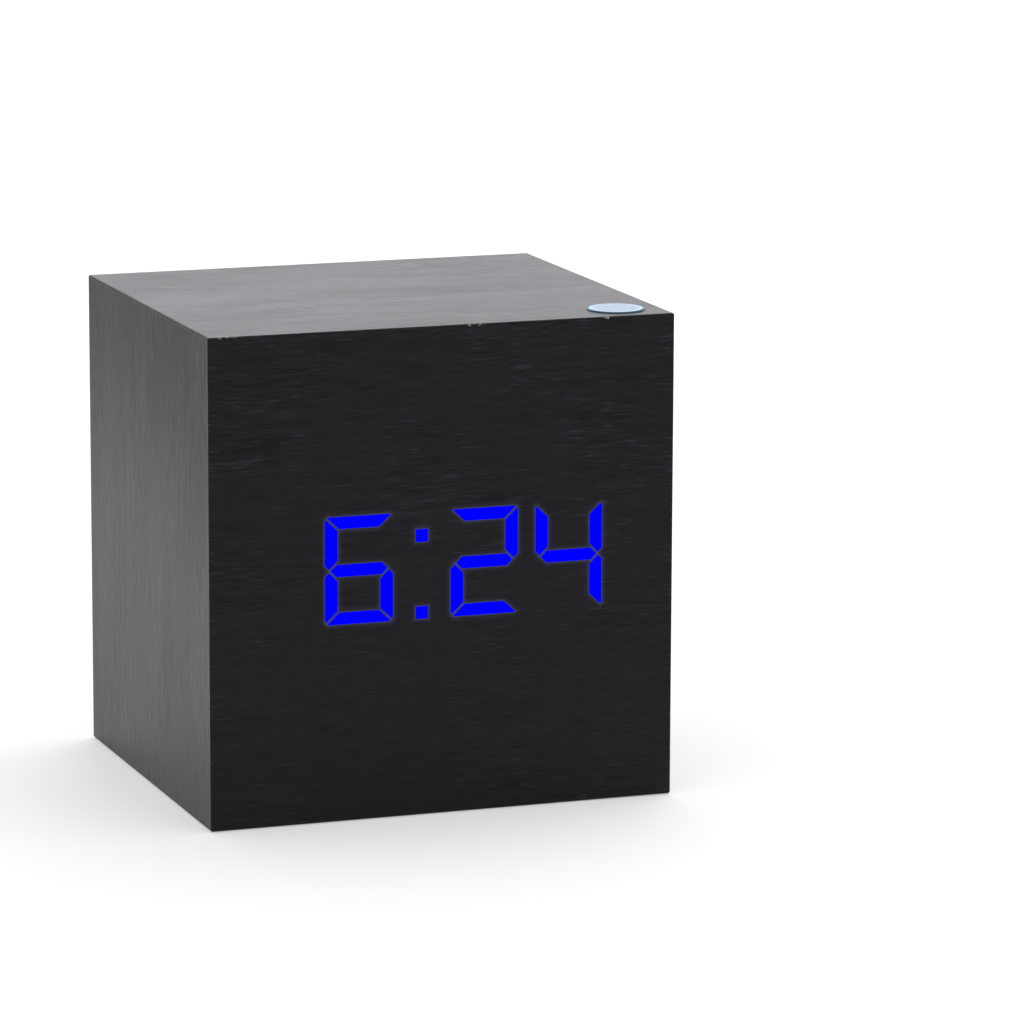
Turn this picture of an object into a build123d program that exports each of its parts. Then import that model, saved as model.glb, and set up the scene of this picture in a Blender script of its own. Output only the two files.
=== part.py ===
from build123d import *
from math import radians, tan
import os

os.makedirs("parts", exist_ok=True)

# Desk clock with a lit display behind the front veneer of a wooden block.
# Millimetres, Z up, X to the right and Y to the back as seen from the front.
# The origin is the middle of the underside.

# Driving dimensions of the block
block_width = 68.0
block_depth = 60.0
block_height = 69.0
veneer_thickness = 0.4
board_thickness = 3.0
edge_radius = 0.3

# Driving dimensions of the display
display_right_room = 6.77
digit_height = 15.15
digit_space = 2.6
upright_width = 1.85
level_width = 1.7
segment_gap = 0.3
corner_cut = 0.75
middle_tip_inset = 0.75
colon_clearance = 4.22
colon_dot = 1.78
colon_dot_pitch = 10.9
display_middle_z = 35.56

# Driving dimensions of the cells, which fill the block between these rooms
cell_count = 3
cell_end_room = 11.75
cell_side_room = 13.5
cell_space = 0.5

# Shared clearances and the overrun of cuts
seat_clearance = 0.15
running_clearance = 0.3
cut_overrun = 1.0

# Faces and limits of the block that the pieces follow
front_face_y = -block_depth / 2
back_face_y = block_depth / 2
board_front_y = front_face_y + veneer_thickness
inner_front_y = board_front_y + board_thickness
board_back_y = back_face_y - veneer_thickness
inner_back_y = board_back_y - board_thickness
board_half_width = block_width / 2 - veneer_thickness
inner_half_width = board_half_width - board_thickness
board_floor_z = veneer_thickness
board_top_z = block_height - veneer_thickness
inner_floor_z = board_floor_z + board_thickness
inner_top_z = board_top_z - board_thickness
cell_length = block_width - 2 * cell_end_room
cell_pitch = (block_depth - 2 * cell_side_room) / cell_count
cell_diameter = cell_pitch - cell_space


def upright(depth):
    """Upright plane at this depth, facing the front, with x to the right and y up."""
    return Plane.XZ.offset(-depth)


def write_piece(piece, name):
    """Label a finished piece and write it under its name."""
    piece.part.label = name
    export_step(piece.part, f"parts/{name}.step")


# Display layout, from the left wall of the block to the right
reflector_side_margin = 0.52
reflector_end_margin = 0.9
reflector_left_x = -inner_half_width + seat_clearance
reflector_width = inner_half_width - display_right_room - reflector_left_x
digit_margins = reflector_side_margin + digit_space + colon_clearance
digit_width = (reflector_width / 2 - digit_margins) / 2
digit_pitch = digit_width + digit_space
first_digit_x = reflector_left_x + reflector_side_margin
second_digit_x = first_digit_x + digit_pitch
colon_x = second_digit_x + digit_width + colon_clearance
third_digit_x = colon_x + colon_clearance
fourth_digit_x = third_digit_x + digit_pitch
digit_lefts = [first_digit_x, second_digit_x, third_digit_x, fourth_digit_x]
digit_base_z = display_middle_z - digit_height / 2
reflector_height = digit_height + 2 * reflector_end_margin
colon_places = [
    (colon_x, digit_base_z + colon_dot / 2),
    (colon_x, digit_base_z + colon_dot / 2 + colon_dot_pitch),
]

# Display stack, from the front veneer to the back
film_thickness = 0.2
reflector_depth = 7.0
display_board_thickness = 1.6
film_back_y = board_front_y + film_thickness
reflector_back_y = film_back_y + reflector_depth
display_board_back_y = reflector_back_y + display_board_thickness

# Screws that hold the display stack to the front board
display_screw_radius = 1.0
display_screw_grip = 2.2
display_boss_radius = 2.3
display_boss_lap = 0.5
display_flange_margin = 4.0
display_flange_thickness = 1.6
display_flange_height = reflector_height + 2 * display_flange_margin
display_screw_x_share = 0.41
display_screw_rise = reflector_height / 2 + display_boss_radius - display_boss_lap
display_screw_reach = display_screw_x_share * reflector_width
display_screw_places = [
    (colon_x + across * display_screw_reach, display_middle_z + up * display_screw_rise)
    for across in (-1, 1)
    for up in (-1, 1)
]

# Controls in the back, from the buttons' row to the socket
main_board_thickness = 1.6
main_board_gap = 6.6
main_board_margin = 3.4
main_board_back_y = inner_back_y - main_board_gap
main_board_front_y = main_board_back_y - main_board_thickness
main_board_half_width = inner_half_width - main_board_margin
main_board_bottom_z = 20.0
main_board_top_z = inner_top_z - main_board_margin
main_board_height = main_board_top_z - main_board_bottom_z
main_board_middle_z = (main_board_bottom_z + main_board_top_z) / 2

button_names = ["set", "up", "down"]
button_end_room = 3.2
button_pitch = (main_board_half_width - button_end_room) / 2
button_radius = 3.1
button_recess = 0.4
button_flange_radius = 4.2
button_flange_thickness = 1.0
button_row_rise = 3.4
button_row_z = main_board_middle_z + button_row_rise
button_xs = [button_pitch * (1 - number) for number in range(len(button_names))]
button_hole_radius = button_radius + running_clearance
button_travel = 0.5

socket_x = button_pitch
socket_drop = 14.4
socket_z = main_board_middle_z - socket_drop
socket_nose_radius = 3.9
microphone_radius = 3.0
microphone_hole_radius = 0.8
microphone_x = -button_pitch

# Battery tray let into the underside
cavity_margin = 0.5
tray_wall = 1.2
tray_recess = 0.3
flange_thickness = 1.6
flange_side_width = 5.0
flange_end_width = 1.6
tray_corner_radius = 1.5
contact_thickness = 0.4
spring_height = 5.1
cavity_half_x = (cell_length + spring_height) / 2 + contact_thickness
cavity_half_y = (cell_count - 1) * cell_pitch / 2 + cell_diameter / 2 + cavity_margin
tub_half_x = cavity_half_x + tray_wall
tub_half_y = cavity_half_y + tray_wall
flange_half_x = tub_half_x + flange_end_width
flange_half_y = tub_half_y + flange_side_width
flange_top_z = tray_recess + flange_thickness
door_thickness = 1.2
door_seat_gap = 0.1
door_ledge_z = tray_recess + door_thickness + door_seat_gap
cell_floor_gap = 0.5
cell_middle_z = tray_recess + door_thickness + cell_floor_gap + cell_diameter / 2
cavity_top_z = cell_middle_z + cell_diameter / 2 + running_clearance
tub_top_z = cavity_top_z + tray_wall
cell_ys = [cell_pitch * (number - (cell_count - 1) / 2) for number in range(cell_count)]

tray_screw_radius = 0.85
tray_screw_head_radius = 1.7
tray_screw_length = 4.2
tray_screw_x_share = 0.72
tray_screw_reach = tray_screw_x_share * flange_half_x
tray_screw_places = [
    (across * tray_screw_reach, up * (tub_half_y + flange_side_width / 2))
    for across in (-1, 1)
    for up in (-1, 1)
]

main_screw_radius = 1.0
main_screw_grip = 2.0
spacer_radius = 2.5
spacer_margin = 3.4
main_screw_reach = main_board_half_width - spacer_margin
main_screw_rise = main_board_height / 2 - spacer_margin
main_screw_places = [
    (across * main_screw_reach, main_board_middle_z + up * main_screw_rise)
    for across in (-1, 1)
    for up in (-1, 1)
]
screw_hole_clearance = 0.05

# Screw shanks and their holes have few sides, as they are many and hidden
shank_side_count = 8
head_side_count = 6
sunk_head_angle = 45

# Segment outlines of one digit, drawn from its lower left corner. Ideal outlines
# meet along their mitres, and each is drawn in by half the gap on every side.
ideal_width = digit_width + segment_gap
ideal_height = digit_height + segment_gap
ideal_upright = upright_width + segment_gap
ideal_level = level_width + segment_gap
middle_z = ideal_height / 2


def turned_over(points, across, up):
    """Outline points mirrored across the digit, up the digit, or both."""
    return [
        (ideal_width - x if across else x, ideal_height - z if up else z)
        for x, z in points
    ]


top_bar = [
    (0, ideal_height),
    (ideal_width, ideal_height),
    (ideal_width - ideal_upright, ideal_height - ideal_level),
    (ideal_upright, ideal_height - ideal_level),
]
upper_left_bar = [
    (0, ideal_height),
    (0, middle_z + middle_tip_inset),
    (middle_tip_inset, middle_z),
    (ideal_upright, middle_z + ideal_upright - middle_tip_inset),
    (ideal_upright, ideal_height - ideal_level),
]
middle_left_end = [
    (middle_tip_inset + ideal_level / 2, middle_z - ideal_level / 2),
    (middle_tip_inset, middle_z),
    (middle_tip_inset + ideal_level / 2, middle_z + ideal_level / 2),
]
segment_outlines = {
    "a": top_bar,
    "b": turned_over(upper_left_bar, True, False),
    "c": turned_over(upper_left_bar, True, True),
    "d": turned_over(top_bar, False, True),
    "e": turned_over(upper_left_bar, False, True),
    "f": upper_left_bar,
    "g": middle_left_end + turned_over(middle_left_end, True, True),
}
quarter_share = 0.25
segment_middles = {
    "a": (digit_width / 2, digit_height - level_width / 2),
    "b": (digit_width - upright_width / 2, (1 - quarter_share) * digit_height),
    "c": (digit_width - upright_width / 2, quarter_share * digit_height),
    "d": (digit_width / 2, level_width / 2),
    "e": (upright_width / 2, quarter_share * digit_height),
    "f": (upright_width / 2, (1 - quarter_share) * digit_height),
    "g": (digit_width / 2, digit_height / 2),
}


def well_sketch(letter):
    """Light well of a segment, for a digit whose lower left corner is the origin."""
    with BuildSketch() as well:
        Polygon(*segment_outlines[letter])
        offset(amount=-segment_gap / 2, kind=Kind.INTERSECTION)
    return well.sketch.moved(Location((-segment_gap / 2, -segment_gap / 2, 0)))


well_faces = {letter: well_sketch(letter) for letter in segment_outlines}
digit_corners = [(x, z) for x in (0, digit_width) for z in (0, digit_height)]
cut_angle = 45


def segment_sketch(letter):
    """Lit segment: its well less the cut corners of the digit."""
    with BuildSketch() as segment:
        add(well_faces[letter])
        with Locations(*digit_corners):
            Rectangle(corner_cut, corner_cut, rotation=cut_angle, mode=Mode.SUBTRACT)
    return segment.sketch


segment_faces = {letter: segment_sketch(letter) for letter in segment_outlines}
lit_hour_segments = "acdefg"
lit_tens_segments = "abdeg"
lit_units_segments = "bcfg"


def add_segments(left_x, letters):
    """Lay these segments of one digit into the open sketch."""
    with Locations((left_x, digit_base_z)):
        for letter in letters:
            add(segment_faces[letter])


# Front veneer, laid over the edges of the side sheets, open where the light shows
with BuildPart() as front_veneer:
    with BuildSketch(upright(front_face_y)):
        with Locations((0, block_height / 2)):
            Rectangle(block_width, block_height)
    extrude(amount=-veneer_thickness)
    fillet(front_veneer.edges().filter_by(Axis.Y), radius=edge_radius)
    fillet(front_veneer.faces().sort_by(Axis.Y)[0].edges(), radius=edge_radius)
    with BuildSketch(upright(front_face_y)):
        add_segments(second_digit_x, lit_hour_segments)
        add_segments(third_digit_x, lit_tens_segments)
        add_segments(fourth_digit_x, lit_units_segments)
        with Locations(*colon_places):
            Rectangle(colon_dot, colon_dot)
    extrude(amount=-veneer_thickness, mode=Mode.SUBTRACT)
write_piece(front_veneer, "front_veneer")

# Lit segments, flush with the front veneer
lit_digits = {
    "lit_hour_digit": (second_digit_x, lit_hour_segments),
    "lit_tens_digit": (third_digit_x, lit_tens_segments),
    "lit_units_digit": (fourth_digit_x, lit_units_segments),
}
for name, (left_x, letters) in lit_digits.items():
    with BuildPart() as lit_digit:
        with BuildSketch(upright(front_face_y)):
            add_segments(left_x, letters)
        extrude(amount=-veneer_thickness)
    write_piece(lit_digit, name)

with BuildPart() as lit_colon:
    with BuildSketch(upright(front_face_y)):
        with Locations(*colon_places):
            Rectangle(colon_dot, colon_dot)
    extrude(amount=-veneer_thickness)
write_piece(lit_colon, "lit_colon")

# Back veneer and back board, holed alike for the buttons, socket and microphone
control_hole_places = [(x, button_row_z) for x in button_xs]
socket_hole_radius = socket_nose_radius + seat_clearance


def cut_control_holes(face_y, thickness):
    """Cut the control holes through the sheet that starts at this depth."""
    with BuildSketch(upright(face_y)) as control_holes:
        with Locations(*control_hole_places):
            Circle(button_hole_radius)
        with Locations((socket_x, socket_z)):
            Circle(socket_hole_radius)
        with Locations((microphone_x, socket_z)):
            Circle(microphone_hole_radius)
    extrude(control_holes.sketch, amount=-thickness, mode=Mode.SUBTRACT)


with BuildPart() as back_veneer:
    with BuildSketch(upright(board_back_y)):
        with Locations((0, block_height / 2)):
            Rectangle(block_width, block_height)
    extrude(amount=-veneer_thickness)
    fillet(back_veneer.edges().filter_by(Axis.Y), radius=edge_radius)
    fillet(back_veneer.faces().sort_by(Axis.Y)[-1].edges(), radius=edge_radius)
    cut_control_holes(board_back_y, veneer_thickness)
write_piece(back_veneer, "back_veneer")

with BuildPart() as back_board:
    with BuildSketch(upright(inner_back_y)):
        with Locations((0, block_height / 2)):
            Rectangle(2 * board_half_width, board_top_z - board_floor_z)
    extrude(amount=-board_thickness)
    cut_control_holes(inner_back_y, board_thickness)
    with BuildSketch(upright(inner_back_y)):
        with Locations(*main_screw_places):
            RegularPolygon(main_screw_radius + screw_hole_clearance, shank_side_count)
    extrude(amount=-main_screw_grip - screw_hole_clearance, mode=Mode.SUBTRACT)
write_piece(back_board, "back_board")

# Front board with the window that the reflector fills
with BuildPart() as front_board:
    with BuildSketch(upright(board_front_y)):
        with Locations((0, block_height / 2)):
            Rectangle(2 * board_half_width, board_top_z - board_floor_z)
        with Locations((colon_x, display_middle_z)):
            Rectangle(
                reflector_width + 2 * seat_clearance,
                reflector_height + 2 * seat_clearance,
                mode=Mode.SUBTRACT,
            )
    extrude(amount=-board_thickness)
    with BuildSketch(upright(inner_front_y)):
        with Locations(*display_screw_places):
            RegularPolygon(display_screw_radius + screw_hole_clearance, shank_side_count)
    extrude(amount=display_screw_grip + screw_hole_clearance, mode=Mode.SUBTRACT)
write_piece(front_board, "front_board")

# Sheets on the top and the two sides; the top one laps over the side ones
side_sheet_depth = board_back_y - board_front_y
with BuildPart() as top_veneer:
    with BuildSketch(Plane.XY.offset(board_top_z)):
        Rectangle(block_width, side_sheet_depth)
    extrude(amount=veneer_thickness)
    fillet(top_veneer.faces().sort_by(Axis.Z)[-1].edges().filter_by(Axis.Y), radius=edge_radius)
write_piece(top_veneer, "top_veneer")

for name, side_x in (("left_veneer", -block_width / 2), ("right_veneer", board_half_width)):
    with BuildPart() as side_veneer:
        with BuildSketch(Plane.YZ.offset(side_x)):
            with Locations((0, block_height / 2)):
                Rectangle(side_sheet_depth, board_top_z - board_floor_z)
        extrude(amount=veneer_thickness)
    write_piece(side_veneer, name)

# Sheet on the underside, open round the battery tray
rebate_width = 2 * (flange_half_x + seat_clearance)
rebate_depth = 2 * (flange_half_y + seat_clearance)
rebate_corner_radius = tray_corner_radius + seat_clearance
with BuildPart() as bottom_veneer:
    with BuildSketch(Plane.XY):
        Rectangle(block_width, side_sheet_depth)
        RectangleRounded(rebate_width, rebate_depth, rebate_corner_radius, mode=Mode.SUBTRACT)
    extrude(amount=veneer_thickness)
    outer_edges = bottom_veneer.faces().sort_by(Axis.Z)[0].edges().filter_by(Axis.Y)
    fillet(outer_edges.sort_by(Axis.X)[0], radius=edge_radius)
    outer_edges = bottom_veneer.faces().sort_by(Axis.Z)[0].edges().filter_by(Axis.Y)
    fillet(outer_edges.sort_by(Axis.X)[-1], radius=edge_radius)
write_piece(bottom_veneer, "bottom_veneer")

# Ring of four mitred boards between the front board and the back board
ring_outer = [
    (-board_half_width, board_floor_z),
    (board_half_width, board_floor_z),
    (board_half_width, board_top_z),
    (-board_half_width, board_top_z),
]
ring_inner = [
    (-inner_half_width, inner_floor_z),
    (inner_half_width, inner_floor_z),
    (inner_half_width, inner_top_z),
    (-inner_half_width, inner_top_z),
]
bottom_end, right_end, top_end, left_end = (
    (outer, next_outer, next_inner, inner)
    for outer, next_outer, next_inner, inner in zip(
        ring_outer, ring_outer[1:] + ring_outer[:1], ring_inner[1:] + ring_inner[:1], ring_inner
    )
)


def mitred_board(end_outline):
    """Extrude one board of the ring from the outline of its mitred end."""
    with BuildSketch(upright(inner_front_y)) as board_end:
        Polygon(*end_outline)
    extrude(board_end.sketch, amount=inner_front_y - inner_back_y)


for name, end_outline in (("right_board", right_end), ("top_board", top_end), ("left_board", left_end)):
    with BuildPart() as ring_board:
        mitred_board(end_outline)
    write_piece(ring_board, name)

with BuildPart() as bottom_board:
    mitred_board(bottom_end)
    with BuildSketch(Plane.XY.offset(board_floor_z)):
        RectangleRounded(rebate_width, rebate_depth, rebate_corner_radius)
    extrude(amount=flange_top_z - board_floor_z, mode=Mode.SUBTRACT)
    with BuildSketch(Plane.XY.offset(flange_top_z)):
        Rectangle(2 * (tub_half_x + seat_clearance), 2 * (tub_half_y + seat_clearance))
        with Locations(*tray_screw_places):
            RegularPolygon(tray_screw_radius + screw_hole_clearance, shank_side_count)
    extrude(amount=inner_floor_z - flange_top_z, mode=Mode.SUBTRACT)
write_piece(bottom_board, "bottom_board")

# Domed resin badge on the top, near the front right corner
badge_radius = 4.2
badge_rim = 0.15
badge_rise = 0.1
badge_side_inset = 6.6
badge_front_inset = 5.9
badge_dome_radius = (badge_radius**2 + badge_rise**2) / (2 * badge_rise)
badge_plane = Plane(
    origin=(block_width / 2 - badge_side_inset, front_face_y + badge_front_inset, block_height),
    x_dir=(1, 0, 0),
    z_dir=(0, -1, 0),
)
with BuildPart() as top_badge:
    with BuildSketch(badge_plane) as badge_half:
        with BuildLine():
            Line((0, 0), (badge_radius, 0))
            Line((badge_radius, 0), (badge_radius, badge_rim))
            RadiusArc((badge_radius, badge_rim), (0, badge_rim + badge_rise), -badge_dome_radius)
            Line((0, badge_rim + badge_rise), (0, 0))
        make_face()
    revolve(axis=Axis(badge_plane.origin, (0, 0, 1)))
write_piece(top_badge, "top_badge")

# Diffuser film in the window, over the whole reflector
with BuildPart() as diffuser_film:
    with BuildSketch(upright(board_front_y)):
        with Locations((colon_x, display_middle_z)):
            Rectangle(reflector_width, reflector_height)
    extrude(amount=-film_thickness)
write_piece(diffuser_film, "diffuser_film")

# Segment reflector: a moulded block with a drafted light well behind every
# segment, lightening pockets between the wells, and a screwed flange
well_draft = 2.2
pocket_draft = 1.5
pocket_wall = 0.9
reflector_face = 1.4
pocket_width = digit_width - 2 * (upright_width + pocket_wall)
pocket_height = digit_height / 2 - 1.5 * level_width - 2 * pocket_wall
pocket_rise = digit_height / 4 - level_width / 4
pocket_depth = reflector_depth - reflector_face

# The wells and pockets are drawn lying down, with the front of the display below
# them, and are then stood up behind the film
with BuildPart() as light_wells:
    with BuildSketch(Plane.XY):
        for left_x in digit_lefts:
            with Locations((left_x, -digit_height / 2)):
                for letter in segment_outlines:
                    add(well_faces[letter])
        for x, z in colon_places:
            with Locations((x, display_middle_z - z)):
                Rectangle(colon_dot, colon_dot)
    extrude(amount=reflector_depth, taper=well_draft)

with BuildPart() as lightening_pockets:
    with BuildSketch(Plane.XY):
        for left_x in digit_lefts:
            with Locations((left_x + digit_width / 2, 0)):
                with GridLocations(0, 2 * pocket_rise, 1, 2):
                    Rectangle(pocket_width, pocket_height)
    extrude(amount=pocket_depth, taper=pocket_draft)

well_plane = Plane(origin=(0, film_back_y, display_middle_z), x_dir=(1, 0, 0), z_dir=(0, 1, 0))
pocket_plane = Plane(origin=(0, reflector_back_y, display_middle_z), x_dir=(1, 0, 0), z_dir=(0, -1, 0))
with BuildPart() as segment_reflector:
    with BuildSketch(upright(film_back_y)):
        with Locations((colon_x, display_middle_z)):
            Rectangle(reflector_width, reflector_height)
    extrude(amount=-reflector_depth)
    with BuildSketch(upright(inner_front_y)):
        with Locations((colon_x, display_middle_z)):
            Rectangle(reflector_width, display_flange_height)
    extrude(amount=-display_flange_thickness)
    with BuildSketch(upright(inner_front_y)):
        with Locations(*display_screw_places):
            Circle(display_boss_radius)
    extrude(amount=inner_front_y - reflector_back_y)
    with Locations(pocket_plane):
        add(lightening_pockets.part, mode=Mode.SUBTRACT)
    with Locations(well_plane):
        add(light_wells.part, mode=Mode.SUBTRACT)
    with BuildSketch(upright(inner_front_y)):
        with Locations(*display_screw_places):
            RegularPolygon(display_screw_radius + screw_hole_clearance, shank_side_count)
    extrude(amount=inner_front_y - reflector_back_y, mode=Mode.SUBTRACT)
write_piece(segment_reflector, "segment_reflector")

# Display board behind the reflector
with BuildPart() as display_board:
    with BuildSketch(upright(reflector_back_y)):
        with Locations((colon_x, display_middle_z)):
            Rectangle(reflector_width, display_flange_height)
        with Locations(*display_screw_places):
            RegularPolygon(
                display_screw_radius + screw_hole_clearance, shank_side_count, mode=Mode.SUBTRACT
            )
    extrude(amount=-display_board_thickness)
write_piece(display_board, "display_board")

# One small lamp at the foot of every light well
lamp_length = 1.0
lamp_width = 0.5
lamp_height = 0.45
upright_segments = "bcef"
with BuildPart() as segment_lamps:
    with BuildSketch(upright(reflector_back_y)):
        for left_x in digit_lefts:
            for letter, (x, z) in segment_middles.items():
                with Locations((left_x + x, digit_base_z + z)):
                    if letter in upright_segments:
                        Rectangle(lamp_width, lamp_length)
                    else:
                        Rectangle(lamp_length, lamp_width)
        with Locations(*colon_places):
            Rectangle(lamp_length, lamp_width)
    extrude(amount=lamp_height)
write_piece(segment_lamps, "segment_lamps")


# Screws: the seat of the head lies in the screw's plane and the shank goes down from it
def screw_solid(shank_radius, head_radius, head_height, length):
    """Screw with a six-sided head."""
    with BuildPart() as screw:
        with BuildSketch(Plane.XY):
            RegularPolygon(head_radius, head_side_count)
        extrude(amount=head_height)
        with BuildSketch(Plane.XY):
            RegularPolygon(shank_radius, shank_side_count)
        extrude(amount=-length)
    return screw.part


def sunk_screw_solid(shank_radius, head_radius, length):
    """Screw with a round countersunk head whose top is the screw's plane."""
    with BuildPart() as screw:
        with BuildSketch(Plane.XY):
            Circle(head_radius)
        extrude(amount=shank_radius - head_radius, taper=sunk_head_angle)
        with BuildSketch(Plane.XY):
            RegularPolygon(shank_radius, shank_side_count)
        extrude(amount=-length)
    return screw.part


display_screw_head_radius = 1.8
display_screw_head_height = 1.3
display_screw_length = display_board_back_y - inner_front_y + display_screw_grip
display_screw = screw_solid(
    display_screw_radius, display_screw_head_radius, display_screw_head_height, display_screw_length
)
display_screw_planes = [
    Plane(origin=(x, display_board_back_y, z), x_dir=(1, 0, 0), z_dir=(0, 1, 0))
    for x, z in display_screw_places
]
with BuildPart() as display_screws:
    with Locations(*display_screw_planes):
        add(display_screw)
write_piece(display_screws, "display_screws")

# Chips: a body with drafted sides, and gull-wing legs down both sides
leg_pitch = 1.27
leg_width = 0.4
leg_thickness = 0.2
leg_reach = 1.5
leg_foot = 0.6
chip_standoff = 0.1
chip_draft = 6.0


def chip_body(plane, length, width, height):
    """Moulded chip body that stands off its board, drafted to its top."""
    with BuildPart() as body:
        with BuildSketch(plane.offset(chip_standoff)):
            Rectangle(length, width)
        extrude(amount=height, taper=chip_draft)
    return body.part


def chip_legs(plane, leg_count, width, height):
    """Legs of a chip, bent down to the board from half way up both sides."""
    side_count = leg_count // 2
    knee_height = chip_standoff + height / 2
    seat = width / 2 - (height / 2 - leg_thickness) * tan(radians(chip_draft))
    profile_plane = Plane(origin=plane.origin, x_dir=plane.y_dir, z_dir=plane.x_dir)
    elbow = width / 2 + (leg_reach - leg_foot) / 2
    with BuildPart() as legs:
        for number in range(side_count):
            shift = (number - (side_count - 1) / 2) * leg_pitch
            with BuildSketch(profile_plane.offset(shift)) as leg_profile:
                with BuildLine():
                    Polyline(
                        (seat, knee_height),
                        (elbow, knee_height),
                        (elbow + leg_thickness, leg_thickness),
                        (elbow + leg_thickness + leg_foot, leg_thickness),
                        (elbow + leg_thickness + leg_foot, 0),
                        (elbow, 0),
                        (elbow - leg_thickness, knee_height - leg_thickness),
                        (seat, knee_height - leg_thickness),
                        (seat, knee_height),
                    )
                make_face()
                mirror(about=Plane.YZ)
            extrude(leg_profile.sketch, amount=leg_width / 2, both=True)
    return legs.part


driver_length = 10.2
driver_width = 6.0
driver_height = 1.9
driver_leg_count = 16
header_length = 12.0
driver_header_gap = 0.3
driver_x = header_length / 2 + driver_header_gap + driver_length / 2
driver_plane = Plane(
    origin=(driver_x, display_board_back_y, display_middle_z),
    x_dir=(1, 0, 0),
    z_dir=(0, 1, 0),
)
controller_length = 12.8
controller_width = 7.4
controller_height = 2.3
controller_leg_count = 20
controller_plane = Plane(
    origin=(0, main_board_front_y, main_board_middle_z),
    x_dir=(1, 0, 0),
    z_dir=(0, -1, 0),
)

with BuildPart() as display_driver_chip:
    add(chip_body(driver_plane, driver_length, driver_width, driver_height))
write_piece(display_driver_chip, "display_driver_chip")

with BuildPart() as controller_chip:
    add(chip_body(controller_plane, controller_length, controller_width, controller_height))
write_piece(controller_chip, "controller_chip")

# Main board at the back, on four spacers
with BuildPart() as main_board:
    with BuildSketch(upright(main_board_front_y)):
        with Locations((0, main_board_middle_z)):
            Rectangle(2 * main_board_half_width, main_board_height)
        with Locations(*main_screw_places):
            RegularPolygon(
                main_screw_radius + screw_hole_clearance, shank_side_count, mode=Mode.SUBTRACT
            )
    extrude(amount=-main_board_thickness)
write_piece(main_board, "main_board")

with BuildPart() as board_spacers:
    with BuildSketch(upright(main_board_back_y)):
        with Locations(*main_screw_places):
            RegularPolygon(spacer_radius, head_side_count)
            RegularPolygon(
                main_screw_radius + screw_hole_clearance, shank_side_count, mode=Mode.SUBTRACT
            )
    extrude(amount=-main_board_gap)
write_piece(board_spacers, "board_spacers")

main_screw_head_radius = 1.8
main_screw_head_height = 1.3
main_screw_length = main_board_thickness + main_board_gap + main_screw_grip
main_screw = screw_solid(
    main_screw_radius, main_screw_head_radius, main_screw_head_height, main_screw_length
)
main_screw_planes = [
    Plane(origin=(x, main_board_front_y, z), x_dir=(1, 0, 0), z_dir=(0, -1, 0))
    for x, z in main_screw_places
]
with BuildPart() as main_board_screws:
    with Locations(*main_screw_planes):
        add(main_screw)
write_piece(main_board_screws, "main_board_screws")

# Push buttons: a turned cap with a retaining flange, over a tact switch
cap_face_y = back_face_y - button_recess
cap_flange_back_y = inner_back_y - running_clearance
cap_flange_front_y = cap_flange_back_y - button_flange_thickness
cap_edge = 0.35
stem_radius = 1.6
plunger_radius = 1.7
plunger_depth = 2.6
plunger_foot_gap = 0.2
housing_size = 6.0
housing_height = 3.4
bore_floor = 0.9
plunger_foot_y = main_board_back_y + bore_floor + button_travel + plunger_foot_gap
stem_end_y = plunger_foot_y + plunger_depth


for name, button_x in zip(button_names, button_xs):
    turning_plane = Plane(origin=(button_x, 0, button_row_z), x_dir=(1, 0, 0), z_dir=(0, 0, 1))
    turning_axis = Axis((button_x, 0, button_row_z), (0, 1, 0))
    with BuildPart() as button_cap:
        with BuildSketch(turning_plane):
            with BuildLine():
                Polyline(
                    (0, cap_face_y),
                    (0, stem_end_y),
                    (stem_radius, stem_end_y),
                    (stem_radius, cap_flange_front_y),
                    (button_flange_radius, cap_flange_front_y),
                    (button_flange_radius, cap_flange_back_y),
                    (button_radius, cap_flange_back_y),
                    (button_radius, cap_face_y - cap_edge),
                    (button_radius - cap_edge, cap_face_y),
                    (0, cap_face_y),
                )
            make_face()
        revolve(axis=turning_axis)
    write_piece(button_cap, f"{name}_button_cap")

    with BuildPart() as switch_plunger:
        with BuildSketch(upright(plunger_foot_y)):
            with Locations((button_x, button_row_z)):
                Circle(plunger_radius)
        extrude(amount=-plunger_depth)
    write_piece(switch_plunger, f"{name}_switch_plunger")

with BuildPart() as switch_housings:
    with BuildSketch(upright(main_board_back_y)):
        with Locations(*control_hole_places):
            Rectangle(housing_size, housing_size)
    extrude(amount=-housing_height)
    with BuildSketch(upright(main_board_back_y + bore_floor)):
        with Locations(*control_hole_places):
            Circle(plunger_radius + running_clearance)
    extrude(amount=bore_floor - housing_height, mode=Mode.SUBTRACT)
write_piece(switch_housings, "switch_housings")

# Power socket: a square body, a round nose in the back board, a bore and its pin
socket_size = 9.0
socket_bore_radius = 2.85
socket_bore_floor = 1.0
socket_nose_recess = 0.5
socket_pin_radius = 1.0
socket_pin_recess = 1.0
socket_body_back_y = inner_back_y - seat_clearance
socket_nose_y = back_face_y - socket_nose_recess
socket_floor_y = main_board_back_y + socket_bore_floor
with BuildPart() as power_socket:
    with BuildSketch(upright(main_board_back_y)):
        with Locations((socket_x, socket_z)):
            Rectangle(socket_size, socket_size)
    extrude(amount=main_board_back_y - socket_body_back_y)
    with BuildSketch(upright(socket_body_back_y)):
        with Locations((socket_x, socket_z)):
            Circle(socket_nose_radius)
    extrude(amount=socket_body_back_y - socket_nose_y)
    with BuildSketch(upright(socket_floor_y)):
        with Locations((socket_x, socket_z)):
            Circle(socket_bore_radius)
    extrude(amount=socket_floor_y - socket_nose_y, mode=Mode.SUBTRACT)
write_piece(power_socket, "power_socket")

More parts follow.
